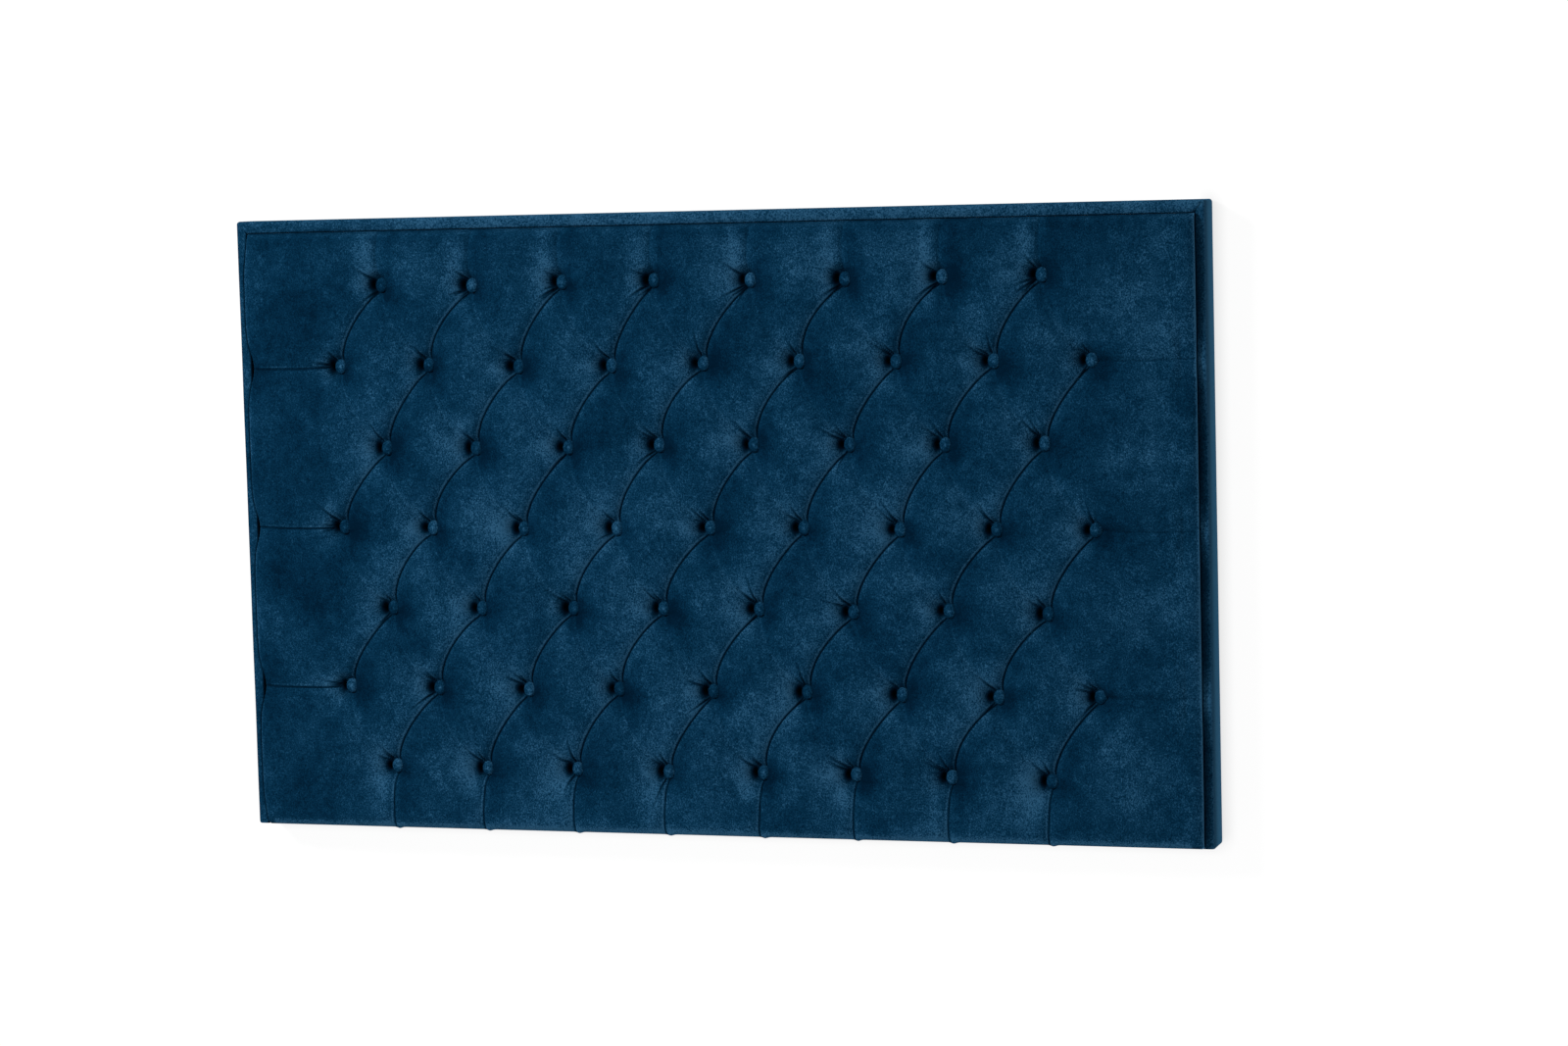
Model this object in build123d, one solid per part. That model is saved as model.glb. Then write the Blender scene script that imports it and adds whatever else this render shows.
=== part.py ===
from build123d import *
import os
from math import cos, pi, sin, sqrt

# A wall-hung headboard: a deep-buttoned velvet panel inside an upholstered rim on three sides.
# Millimetres, +Z up. The front faces -Y and the wall is the plane y = 0. The origin lies on the
# wall plane, midway between the entry holes of the two keyhole hangers.

os.makedirs("parts", exist_ok=True)

# Overall size of the board
board_width = 1600.0
board_height = 990.0
corner_radius = 5.0

# Thicknesses, from the wall to the front
bumper_thickness = 2.0
dust_cover_thickness = 0.5
batten_thickness = 22.0
plywood_thickness = 9.0
foam_thickness = 14.5
pad_under_button = 5.0
crown_height = 33.0

# Rim
rim_face = 20.0
rim_reach = 12.0
rim_front_radius = 5.0
strip_chamfer = 2.0
cover_thickness = 2.0
back_lip = 12.0

# Batten frame; places along the board are counted in half pitches of the button columns
batten_width = 60.0
mid_stile_width = 45.0
mid_stile_half_pitches = 3.5
hanger_half_pitches = 6

# Button layout: rows alternate between a short and a long row, starting short at the top
row_count = 7
short_row_buttons = 8
edge_to_row = 109.0
edge_to_last_row = 101.0
edge_to_column = 176.0

# Buttons, twines and toggles
button_radius = 11.0
button_dome = 6.5
button_sides = 10
button_shoulder_share = 0.82
button_shoulder_rise_share = 0.6
button_crown_share = 0.42
twine_width = 2.0
slit_width = 3.0
twine_hole_radius = 4.0
twine_hole_sides = 6
toggle_length = 26.0
toggle_width = 7.0
toggle_thickness = 4.0

# Tufting
seat_gap = 0.3
fold_lift = 11.0
tuck_lift = 6.0
tuck_half_width = 2.5
tuck_dip_share = 0.85
top_edge_rise = 9.0
bottom_edge_rise = 8.0
side_roll = 46.0
side_crown_share = 0.36
puff_shares = (0.1, 0.32, 0.68, 0.9)
puff_power = 2.2
fold_curve = 0.3
puff_fullness = 0.75
flat_enough = 1e-6
fold_station_shares = (0.35, 0.7)
outer_station_shares = (0.3, 0.62, 0.82, 0.93, 1.0)

# Cloth at the bottom and over the back
wrap_thickness = 1.2
wrap_lip = 40.0
dust_cover_inset = 8.0
dust_cover_gap = 5.0
plate_clearance = 2.0

# Keyhole hanger plates, the blocks that carry them and the pockets behind them
block_width = 100.0
block_margin = 10.0
plate_length = 52.0
plate_width = 22.0
entry_radius = 5.5
slot_half_width = 2.4
slot_travel = 12.0
pocket_depth = 10.0
pocket_margin = 2.0
plate_screw_inset = 6.0

# Countersunk wood screws
screw_head_radius = 4.0
screw_shank_radius = 2.0
screw_tip_radius = 0.6
screw_tip_length = 3.0
plate_screw_length = 16.0
lap_screw_length = 18.0
rim_screw_length = 40.0
screw_sides = 8
screw_clearance = 0.15
head_clearance = 0.2
rim_screws_per_side = 3
rim_screws_on_top = 5
rim_screw_end = 60.0

# Felt bumpers
bumper_radius = 15.0
bumper_inset = 30.0

# Places worked out from the sizes above
top_z = rim_face - cover_thickness + batten_width + block_margin + (plate_length + slot_travel) / 2
bottom_z = top_z - board_height
middle_z = (top_z + bottom_z) / 2
half_width = board_width / 2
inner_half = half_width - rim_face
seat_half = inner_half + cover_thickness
inner_top = top_z - rim_face
seat_top = inner_top + cover_thickness
seat_bottom = bottom_z + wrap_thickness

back_y = -(bumper_thickness + dust_cover_thickness)
batten_y = back_y - batten_thickness
plywood_y = batten_y - plywood_thickness
foam_y = plywood_y - foam_thickness
floor_y = foam_y - pad_under_button
rim_y = foam_y - rim_reach
lap_y = back_y - batten_thickness / 2

row_pitch = (board_height - edge_to_row - edge_to_last_row) / (row_count - 1)
column_pitch = (board_width - 2 * edge_to_column) / short_row_buttons
half_pitch = column_pitch / 2
outer_column = short_row_buttons * half_pitch
mid_stile_place = mid_stile_half_pitches * half_pitch
hanger_places = (-hanger_half_pitches * half_pitch, hanger_half_pitches * half_pitch)
row_places = [top_z - edge_to_row - row * row_pitch for row in range(row_count)]


def puff_height(width):
    """Height of a puff's crown over the button seats' floor, from its width where it is sliced."""
    share = width / (2 * (row_pitch - button_radius))
    return crown_height * share * (1 + puff_fullness * (1 - share))


seat_rise = puff_height(2 * button_radius)
seat_y = floor_y - seat_rise - seat_gap


def button_places():
    """The centre of each button, row by row from the top."""
    places = []
    for row, z in enumerate(row_places):
        count = short_row_buttons + row % 2
        for column in range(count):
            places.append(((column - (count - 1) / 2) * column_pitch, z))
    return places


def block(x_span, y_span, z_span):
    """A box between two values on each axis."""
    low = [min(span) for span in (x_span, y_span, z_span)]
    high = [max(span) for span in (x_span, y_span, z_span)]
    size = [b - a for a, b in zip(low, high)]
    centre = [(a + b) / 2 for a, b in zip(low, high)]
    return Pos(*centre) * Box(*size)


def is_flat(a, b, c, d):
    """Whether four corners lie in one plane."""
    span = (b - a).cross(c - a)
    return abs(span.dot(d - a)) <= flat_enough * (span.length * (d - a).length)


def flat_faced(slices):
    """A closed solid through slices with matching corners; all its faces are flat."""
    faces = [Face(Wire.make_polygon(slices[0])), Face(Wire.make_polygon(slices[-1]))]
    for here, there in zip(slices[:-1], slices[1:]):
        for corner in range(len(here)):
            a, b = here[corner - 1], here[corner]
            c, d = there[corner], there[corner - 1]
            if is_flat(a, b, c, d):
                pieces = [(a, b, c, d)]
            elif (a - c).length < (b - d).length:
                pieces = [(a, b, c), (a, c, d)]
            else:
                pieces = [(a, b, d), (b, c, d)]
            faces += [Face(Wire.make_polygon(piece)) for piece in pieces]
    return Solid(Shell(faces))


def faceted(start, along, stations, sides):
    """A solid through regular polygons; stations holds (distance, corner radius) pairs."""
    plane = Plane(origin=start, z_dir=along)
    slices = []
    for distance, radius in stations:
        turns = [2 * pi * (side + 0.5) / sides for side in range(sides)]
        slices.append([plane.from_local_coords(Vector(radius * cos(turn), radius * sin(turn), distance))
                       for turn in turns])
    return flat_faced(slices)


def square_rod(start, along, width, length):
    """A square rod, which stands for a twine or for the slit it passes through."""
    return faceted(start, along, [(0, width / sqrt(2)), (length, width / sqrt(2))], 4)


def save(name, solids):
    """Writes one node; a list becomes a group of separate solids."""
    shape = Compound(solids) if isinstance(solids, list) else solids
    export_step(shape, f"parts/{name}.step")


# Screws: each is given by the centre of its head and the way it is driven


def screw(head, along, length):
    stations = [
        (0, screw_head_radius),
        (screw_head_radius - screw_shank_radius, screw_shank_radius),
        (length - screw_tip_length, screw_shank_radius),
        (length, screw_tip_radius),
    ]
    return faceted(head, along, stations, screw_sides)


def screw_hole(head, along, length):
    """The countersunk hole for a screw, a little wider than it all over."""
    shank = screw_shank_radius + screw_clearance
    stations = [
        (0, screw_head_radius + head_clearance),
        (screw_head_radius + head_clearance - shank, shank),
        (length + screw_clearance, shank),
    ]
    return faceted(head, along, stations, screw_sides)


def lap_screw_places():
    """One screw through each half lap of the batten frame, from the back."""
    places = []
    for x in stile_centres():
        for z in (seat_top - batten_width / 2, seat_bottom + batten_width / 2):
            places.append(((x, back_y, z), (0, -1, 0), lap_screw_length))
    return places


def rim_screw_places():
    """Screws driven through the rim strips into the battens, before the rim is covered."""
    depth = (back_y + batten_y) / 2
    places = []
    z_high = seat_top - batten_width - rim_screw_end
    z_low = seat_bottom + batten_width + rim_screw_end
    for side in (-1, 1):
        for step in range(rim_screws_per_side):
            z = z_high + (z_low - z_high) * step / (rim_screws_per_side - 1)
            head = (side * (half_width - cover_thickness), depth, z)
            places.append((head, (-side, 0, 0), rim_screw_length))
    x_end = seat_half - batten_width - rim_screw_end
    for step in range(rim_screws_on_top):
        x = -x_end + 2 * x_end * step / (rim_screws_on_top - 1)
        places.append(((x, depth, top_z - cover_thickness), (0, 0, -1), rim_screw_length))
    return places


def plate_screw_places():
    """Two screws in each hanger plate, near its ends."""
    places = []
    middle = slot_travel / 2
    reach = plate_length / 2 - plate_screw_inset
    for x in hanger_places:
        for z in (middle - reach, middle + reach):
            places.append(((x, 0, z), (0, -1, 0), plate_screw_length))
    return places


# Batten frame and plywood


def stile_centres():
    outer = seat_half - batten_width / 2
    return [-outer, -mid_stile_place, mid_stile_place, outer]


def stile_width(x):
    return batten_width if abs(x) > mid_stile_place else mid_stile_width


def keyhole_pocket(x):
    """The hollow behind a hanger plate, where the wall screw's head travels."""
    radius = entry_radius + pocket_margin
    slot = Pos(x, back_y, slot_travel / 2) * Rot(90, 0, 0) * Rot(0, 0, 90)
    outline = slot * SlotCenterToCenter(slot_travel, 2 * radius)
    return extrude(outline, amount=pocket_depth, dir=(0, -1, 0))


def hanger_block(x):
    """A block under the top rail, between two columns of toggles, that a hanger plate is let into."""
    high = seat_top - batten_width
    low = high - plate_length - 2 * block_margin
    solid = block((x - block_width / 2, x + block_width / 2), (back_y, batten_y), (low, high))
    return drilled(solid - keyhole_pocket(x), plate_screw_places())


def rail(z_low):
    """A horizontal batten, half lapped where each stile crosses its back."""
    solid = block((-seat_half, seat_half), (back_y, batten_y), (z_low, z_low + batten_width))
    for x in stile_centres():
        reach = stile_width(x) / 2
        solid -= block((x - reach, x + reach), (back_y, lap_y), (z_low, z_low + batten_width))
    return solid


def stile(x):
    """A vertical batten, half lapped over the two rails."""
    reach = stile_width(x) / 2
    solid = block((x - reach, x + reach), (back_y, batten_y), (seat_bottom, seat_top))
    for z_low in (seat_bottom, seat_top - batten_width):
        solid -= block((x - reach, x + reach), (lap_y, batten_y), (z_low, z_low + batten_width))
    return solid


def drilled(solid, places):
    """Cuts the holes of those screws that reach the solid."""
    box = solid.bounding_box()
    for head, along, length in places:
        hole = screw_hole(head, along, length)
        if box.overlaps(hole.bounding_box()):
            solid -= hole
    return solid


def plywood_board():
    solid = block((-seat_half, seat_half), (batten_y, plywood_y), (seat_bottom, seat_top))
    hole = [(0, twine_hole_radius), (plywood_thickness, twine_hole_radius)]
    holes = [faceted((x, batten_y, z), (0, -1, 0), hole, twine_hole_sides) for x, z in button_places()]
    return solid.cut(*holes)


# Foam, tufted pad and what holds the tufts


def foam_slab():
    solid = block((-inner_half, inner_half), (plywood_y, foam_y), (seat_bottom, inner_top))
    slits = [square_rod((x, plywood_y, z), (0, -1, 0), slit_width, foam_thickness)
             for x, z in button_places()]
    return solid.cut(*slits)


def clamp(value):
    return min(max(value, 0.0), 1.0)


def mix(a, b, share):
    return a + (b - a) * share


def swell(share):
    """Rises steeply from 0 and levels out at 1, like the rolled side of a pad."""
    return sqrt(1 - (1 - share) ** 2)


def row_share(x):
    """0 at a column of the short rows' buttons, 1 at a column of the long rows', flat at both."""
    held = min(abs(x), outer_column)
    away = abs((held / half_pitch) % 2 - 1) * half_pitch
    share = clamp((away - button_radius) / (half_pitch - 2 * button_radius))
    return mix(share, share * share * (3 - 2 * share), fold_curve)


def fold_line(gap, x):
    """Place and height of the zigzag fold between row gap and row gap + 1."""
    share = row_share(x)
    outside = clamp((abs(x) - outer_column - button_radius) / (inner_half - outer_column))
    pinch = mix(button_radius, tuck_half_width, swell(outside))
    upper, lower = row_places[gap], row_places[gap + 1]
    if gap % 2 == 0:
        z = mix(upper - button_radius, lower + pinch, share)
    else:
        z = mix(lower + button_radius, upper - pinch, share)
    height = fold_lift * 4 * share * (1 - share) + tuck_lift * outside
    return z, height


def crown_over_folds(x, upper, lower):
    """How far a puff stands over the folds above and below it; it rolls down at the sides."""
    from_side = clamp((inner_half - abs(x)) / side_roll)
    top = puff_height(abs(upper[0] - lower[0])) * mix(side_crown_share, 1.0, swell(from_side))
    return max(top - (upper[1] + lower[1]) / 2, 0.0)


def puff(start, end, crown):
    """Points over a puff between two folds: steep at the folds and level at the crown."""
    points = []
    for share in puff_shares:
        bulge = 1 - abs(2 * share - 1) ** puff_power
        points.append((mix(start[0], end[0], share), mix(start[1], end[1], share) + crown * bulge))
    return points


def edge_stretch(row, x, edge, fold):
    """The cloth from the top or bottom edge to the first fold, with a tuck at each button."""
    toward_edge = 1 if edge[0] > fold[0] else -1
    seat = row_places[row] + toward_edge * button_radius
    full = puff(edge, fold, crown_over_folds(x, edge, fold))
    points = []
    for z, height in full:
        beyond = clamp((z - seat) * toward_edge / abs(edge[0] - seat))
        tucked = mix(seat_rise * tuck_dip_share, edge[1], beyond)
        points.append((z, mix(tucked, height, row_share(x))))
    return points


def pad_slice(x):
    """One upright slice through the pad: a flat back, and a puff between each pair of folds."""
    top_edge = (inner_top - seat_gap, top_edge_rise)
    bottom_edge = (bottom_z, bottom_edge_rise)
    folds = [fold_line(gap, x) for gap in range(row_count - 1)]
    last = row_count - 1
    outline = [top_edge] + edge_stretch(0, x, top_edge, folds[0]) + [folds[0]]
    for upper, lower in zip(folds[:-1], folds[1:]):
        outline += puff(upper, lower, crown_over_folds(x, upper, lower)) + [lower]
    outline += reversed(edge_stretch(last, x, bottom_edge, folds[-1]))
    outline.append(bottom_edge)
    corners = [Vector(x, floor_y - height, z) for z, height in outline]
    return corners + [Vector(x, foam_y, bottom_edge[0]), Vector(x, foam_y, top_edge[0])]


def slice_places():
    """Where the pad is sliced: at both sides of each column, between, and down the rolled sides."""
    places = []
    for column in range(-short_row_buttons, short_row_buttons + 1):
        x = column * half_pitch
        places += [x - button_radius, x + button_radius]
        if column < short_row_buttons:
            gap = half_pitch - 2 * button_radius
            places += [x + button_radius + gap * share for share in fold_station_shares]
    start = outer_column + button_radius
    reach = inner_half - seat_gap - start
    for share in outer_station_shares:
        places += [start + reach * share, -start - reach * share]
    return sorted(places)


def tufted_pad():
    """The velvet cover with its wadding, puffed between the buttons and slit at each twine."""
    solid = flat_faced([pad_slice(x) for x in slice_places()])
    slits = [square_rod((x, foam_y, z), (0, -1, 0), slit_width, pad_under_button + crown_height)
             for x, z in button_places()]
    return solid.cut(*slits)


def tuft_button(x, z):
    """A cloth-covered button: a flat underside and a domed face."""
    stations = [
        (0, button_radius),
        (button_dome * button_shoulder_rise_share, button_radius * button_shoulder_share),
        (button_dome, button_radius * button_crown_share),
    ]
    return faceted((x, seat_y, z), (0, -1, 0), stations, button_sides)


def tuft_twine(x, z):
    length = batten_y - seat_y
    return square_rod((x, batten_y, z), (0, -1, 0), twine_width, length)


def twine_toggle(x, z):
    """The small bar that the twine is tied round behind the plywood."""
    x_span = (x - toggle_width / 2, x + toggle_width / 2)
    z_span = (z - toggle_length / 2, z + toggle_length / 2)
    return block(x_span, (batten_y + toggle_thickness, batten_y), z_span)


# Rim: timber strips in padded velvet covers, mitred at the top corners


def rim_side(name):
    """-1 for the left side, 1 for the right and 0 for the top."""
    return {"left_rim": -1, "right_rim": 1}.get(name, 0)


def rim_outline(name):
    """What one side of the rim keeps, seen from the front: mitred above, rounded at its corners."""
    turn = corner_radius * (1 - sqrt(0.5))
    side = rim_side(name)

    def at(x, z):
        return Vector(x, 0, z)

    def corner(side, z, sign):
        """The two ends and the middle of the rounded corner at a side and a height."""
        x = side * half_width
        flat = at(x - side * corner_radius, z)
        upright = at(x, z - sign * corner_radius)
        return flat, at(x - side * turn, z - sign * turn), upright

    if side == 0:
        left_flat, left_mitre, _ = corner(-1, top_z, 1)
        right_flat, right_mitre, _ = corner(1, top_z, 1)
        edges = [eighth_turn(left_mitre, left_flat, -1), Edge.make_line(left_flat, right_flat),
                 eighth_turn(right_mitre, right_flat, 1)]
        inner = [right_mitre, at(inner_half, inner_top), at(-inner_half, inner_top), left_mitre]
    else:
        _, mitre, high = corner(side, top_z, 1)
        flat, low_middle, low = corner(side, bottom_z, -1)
        edges = [eighth_turn(mitre, high, side), Edge.make_line(high, low),
                 Edge.make_three_point_arc(low, low_middle, flat)]
        inner = [flat, at(side * inner_half, bottom_z), at(side * inner_half, inner_top), mitre]
    edges += [Edge.make_line(a, b) for a, b in zip(inner[:-1], inner[1:])]
    return Face(Wire(edges))


def eighth_turn(mitre, end, side):
    """The half of a rounded top corner that runs from the mitre to one straight side."""
    centre = Vector(side * (half_width - corner_radius), 0, top_z - corner_radius)
    middle = ((mitre + end) / 2 - centre).normalized() * corner_radius + centre
    return Edge.make_three_point_arc(mitre, middle, end)


def rim_part(name, outer, inner, y_span):
    """A full-length bar between two distances from the rim's outer side."""
    side = rim_side(name)
    if side == 0:
        return block((-half_width, half_width), y_span, (top_z - outer, top_z - inner))
    return block((side * (half_width - outer), side * (half_width - inner)), y_span, (bottom_z, top_z))


def rim_bar_edges(name, inset):
    """The rim's section, inset all round, and its two long front edges."""
    bar = rim_part(name, inset, rim_face - inset, (back_y - inset, rim_y + inset))
    along = Axis.X if rim_side(name) == 0 else Axis.Z
    return bar.edges().filter_by(along).sort_by(Axis.Y)[:2]


def rim_pieces(name):
    """The timber strip and the cover of one side of the rim."""
    region = extrude(rim_outline(name), amount=-rim_y, dir=(0, -1, 0))
    strip = chamfer(rim_bar_edges(name, cover_thickness), strip_chamfer)
    if rim_side(name) != 0:
        end = (bottom_z, bottom_z + cover_thickness)
        strip -= block((-half_width, half_width), (0, rim_y), end)
    strip = strip & region
    back_opening = rim_part(name, back_lip, rim_face, (back_y, back_y - cover_thickness))
    frame_side = rim_part(name, rim_face - cover_thickness, rim_face, (back_y, plywood_y))
    rounded = fillet(rim_bar_edges(name, 0), rim_front_radius)
    cover = (rounded & region) - strip - back_opening - frame_side
    return strip, cover


# Cloth under the bottom and over the back, hangers and bumpers


def bottom_wrap():
    """The cover's bottom edge, turned under the board and up its back."""
    reach = inner_half - seat_gap
    under = block((-reach, reach), (foam_y, back_y), (bottom_z, seat_bottom))
    lip_y = back_y + wrap_thickness
    lip = block((-reach, reach), (lip_y, back_y), (bottom_z, bottom_z + wrap_lip))
    return under + lip


def keyhole_plate(x):
    """A steel plate with rounded ends, an entry hole and a slot above it."""
    turn = Rot(90, 0, 0) * Rot(0, 0, 90)
    body = Pos(x, 0, slot_travel / 2) * turn * SlotOverall(plate_length, plate_width)
    plate = extrude(body, amount=-back_y, dir=(0, -1, 0))
    entry = extrude(Pos(x, 0, 0) * Rot(90, 0, 0) * Circle(entry_radius), amount=-back_y, dir=(0, -1, 0))
    slot = extrude(Pos(x, 0, slot_travel / 2) * turn * SlotCenterToCenter(slot_travel, 2 * slot_half_width),
                   amount=-back_y, dir=(0, -1, 0))
    return drilled(plate - entry - slot, plate_screw_places())


def dust_cover():
    """The thin black cloth over the back, cut out round the hanger plates."""
    reach = half_width - dust_cover_inset
    low = bottom_z + wrap_lip + dust_cover_gap
    y_span = (back_y, back_y + dust_cover_thickness)
    sheet = block((-reach, reach), y_span, (low, top_z - dust_cover_inset))
    for x in hanger_places:
        reach_x = plate_width / 2 + plate_clearance
        reach_z = plate_length / 2 + plate_clearance
        middle = slot_travel / 2
        sheet -= block((x - reach_x, x + reach_x), y_span, (middle - reach_z, middle + reach_z))
    return sheet


def bumper(x, z):
    pad = Pos(x, 0, z) * Rot(90, 0, 0) * Circle(bumper_radius)
    return extrude(pad, amount=bumper_thickness, dir=(0, -1, 0))


def bumper_places():
    x = half_width - dust_cover_inset - bumper_inset
    z = bottom_z + wrap_lip + dust_cover_gap + bumper_inset
    return [(-x, z), (x, z)]


# The nodes

lap_screws = lap_screw_places()
rim_screws = rim_screw_places()

save("plywood_board", plywood_board())
save("bottom_rail", drilled(rail(seat_bottom), lap_screws))

save("top_rail", drilled(rail(seat_top - batten_width), lap_screws + rim_screws))
save("hanger_blocks", [hanger_block(x) for x in hanger_places])

stile_names = ("left_stile", "left_middle_stile", "right_middle_stile", "right_stile")
for stile_name, stile_x in zip(stile_names, stile_centres()):
    save(stile_name, drilled(stile(stile_x), lap_screws + rim_screws))

for rim_name in ("top_rim", "left_rim", "right_rim"):
    rim_strip, rim_cover = rim_pieces(rim_name)
    save(f"{rim_name}_strip", drilled(rim_strip, rim_screws))
    save(f"{rim_name}_cover", rim_cover)

save("foam_slab", foam_slab())
save("tufted_pad", tufted_pad())
save("tuft_buttons", [tuft_button(x, z) for x, z in button_places()])
save("tuft_twines", [tuft_twine(x, z) for x, z in button_places()])
save("twine_toggles", [twine_toggle(x, z) for x, z in button_places()])

save("bottom_wrap", bottom_wrap())
save("dust_cover", dust_cover())
save("hanger_plates", [keyhole_plate(x) for x in hanger_places])
save("hanger_screws", [screw(*place) for place in plate_screw_places()])
save("lap_screws", [screw(*place) for place in lap_screws])
save("rim_screws", [screw(*place) for place in rim_screws])
save("bumper_pads", [bumper(x, z) for x, z in bumper_places()])
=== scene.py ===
import bmesh
import bpy
import math
import numpy as np
from mathutils import Matrix, Vector


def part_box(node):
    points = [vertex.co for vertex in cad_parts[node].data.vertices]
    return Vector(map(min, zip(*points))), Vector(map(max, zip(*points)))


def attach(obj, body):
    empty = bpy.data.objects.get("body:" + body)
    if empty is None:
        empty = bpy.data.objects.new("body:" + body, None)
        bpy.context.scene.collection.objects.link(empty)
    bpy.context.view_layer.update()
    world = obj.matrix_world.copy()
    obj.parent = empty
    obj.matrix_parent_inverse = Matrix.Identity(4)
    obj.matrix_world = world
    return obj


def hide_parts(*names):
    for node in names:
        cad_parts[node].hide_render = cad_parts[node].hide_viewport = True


# A deep-buttoned velvet headboard on a white wall. Metres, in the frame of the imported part.

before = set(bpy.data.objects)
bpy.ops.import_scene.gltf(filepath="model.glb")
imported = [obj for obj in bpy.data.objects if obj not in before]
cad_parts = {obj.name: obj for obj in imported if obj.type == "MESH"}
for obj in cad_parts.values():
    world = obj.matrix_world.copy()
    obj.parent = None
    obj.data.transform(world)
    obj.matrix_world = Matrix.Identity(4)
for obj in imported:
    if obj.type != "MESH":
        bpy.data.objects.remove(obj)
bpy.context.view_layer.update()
rng = np.random.default_rng(7)
MM = 0.001

# Sizes repeated from the part
ROW_COUNT = 7
SHORT_ROW = 8
EDGE_TO_ROW = 109 * MM
ROW_PITCH = 130 * MM
HALF_PITCH = 78 * MM
BUTTON_RADIUS = 11 * MM
RIM_FACE = 20 * MM
CORNER_RADIUS = 5 * MM
SEAT_RISE = 5 * MM

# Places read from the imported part
rim_low, rim_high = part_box("top_rim_cover")
_, side_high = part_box("right_rim_cover")
pad_low, pad_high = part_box("tufted_pad")
button_low, button_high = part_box("tuft_buttons")
wrap_low, wrap_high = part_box("bottom_wrap")
lining_low, lining_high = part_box("dust_cover")
foam_low, foam_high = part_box("foam_slab")

half_width = side_high.x
top_z = rim_high.z
bottom_z = wrap_low.z
middle_z = (top_z + bottom_z) / 2
rim_front = rim_low.y
rim_back = side_high.y
floor_y = button_high.y + SEAT_RISE
inner_half = half_width - RIM_FACE
inner_top = top_z - RIM_FACE
row_places = [top_z - EDGE_TO_ROW - row * ROW_PITCH for row in range(ROW_COUNT)]

# The photograph's camera
CAMERA_FROM_CENTRE = Vector((1.9125, -5.6968, 0.5476))
YAW, PITCH, ROLL = (math.radians(turn) for turn in (-17.441, 5.199, -1.499))
LENS_MM = 87.75

# Shape of the buttoned panel
CELL = 2.1 * MM
CROWN = 31 * MM
SIDE_CROWN = 24 * MM
SIDE_CROWN_START = 7.6 * HALF_PITCH
BUTTON_SHIFT = 2.2 * MM
EDGE_REST = 9 * MM
TOP_ROLL = 15 * MM
BOTTOM_ROLL = 22 * MM
SIDE_ROLL = 17 * MM
ROLL_STEPS = 11
ROLL_TUCK = 2.5 * MM
EDGE_GAP = 0.3 * MM
LEFT_BULGE = 6.5 * MM
LEFT_DRAW = 4.5 * MM
RIGHT_HANG = 5.5 * MM
WALL_START = 0.6
BLEND_POWER = 3.0
REACH = 75 * MM

# How far the draw of a level tuck, of the top and of the bottom reaches along a side
TUCK_REACH, TOP_REACH, BOTTOM_REACH = 34 * MM, 45 * MM, 40 * MM

# Depths along the folds, from their starts to their ends
SLANT_DEPTHS = np.array([23, 17, 13.5, 12, 12, 13.5, 18, 23]) * MM
FACING_DEPTHS = np.array([20, 10, 6.5, 5.5, 5.5, 7, 12, 21]) * MM
EDGE_DEPTHS = np.array([22, 12, 8.5, 7.5, 8, 9]) * MM
SIDE_DEPTHS = np.array([22, 9, 6, 5, 5, 6]) * MM
DRAW_DEPTHS = np.array([0.5, 4, 9, 12.5]) * MM

# Fans of wrinkles: way they run in degrees, spread and count
COMMON_FANS = [(118, 9, 1), (133, 7, 1), (148, 9, 1)]
LOWER_FAN = (228, 12, 1)
SIDE_FANS = [(140, 14, 1), (172, 8, 2), (192, 7, 1)]
TOP_FANS = [(138, 14, 1), (222, 13, 4)]

# Painted sheen and shade round a button, where the pile would catch or miss the light, in millimetres:
# middle, spread and amount
PAINTED_SHEEN_BLOBS = [(-33, 1, 19, 13, 0.36), (-24, -31, 16, 20, 0.30), (26, -6, 24, 26, -0.30),
              (-24, 36, 9, 19, 0.2)]

# Rings of a covered button: share of its radius, and rise from its back
BUTTON_DOME = [(0.88, 0.0), (0.985, 0.12), (1.0, 0.27), (0.95, 0.5), (0.82, 0.73), (0.6, 0.9), (0.33, 0.98)]
BUTTON_BACK = 0.2
BUTTON_SIDES = 28

# Section of the rim's cover in millimetres: inset from the board's side, and depth from its back
RIM_PROFILE = [
    (12, 0), (3, 0), (0.8, -0.8), (0, -3), (0, -18), (0, -34), (0, -50), (0.5, -54.3), (1.8, -56.8),
    (3.4, -57.7), (5, -58.1), (6.6, -58.3), (8.2, -58.4), (9.8, -58.5), (11.4, -58.5), (13, -58.5),
    (14.6, -58.4), (16.2, -58.2), (17.6, -57.9), (18.8, -57.4), (19.8, -56), (20, -52), (20, -31),
]
RIM_HIGHEST = 14
RIM_SKIN = 1.6 * MM
RIM_SOFT = 0.35 * MM
FOOT_SOLE = 1.0 * MM
FOOT_WRAP = 8.2 * MM
FOOT_WRAP_TOP = bottom_z + 52 * MM
FOOT_WRAP_EASE = 8 * MM
LEG_STEPS, HEAD_STEPS, CORNER_STEPS = 110, 170, 8

# The hem and the back
HEM_SKIN = 1.2 * MM
HEM_DRAW = 1.1 * MM
HEM_STEPS = 240
RAIL = 60 * MM
MID_STILE = 45 * MM
MID_STILE_PLACE = 273 * MM
HANGER_PLACE = 468 * MM
BLOCK = 100 * MM
PLATE_ROOM = (13 * MM, 28 * MM)
PLATE_MIDDLE = 6 * MM
LINING_STEP = 7 * MM
LINING_SAG = 2.6 * MM
LINING_EASE = 60 * MM
LINING_REST = 0.4 * MM
LINING_OVER_HEM = 0.45 * MM
HEM_OVERLAP = 9 * MM
STAPLE_WIDTH = 11 * MM
STAPLE_WIRE = 0.55 * MM
STAPLE_LEG = 1.2 * MM
STAPLE_RISE = 0.35 * MM

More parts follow.
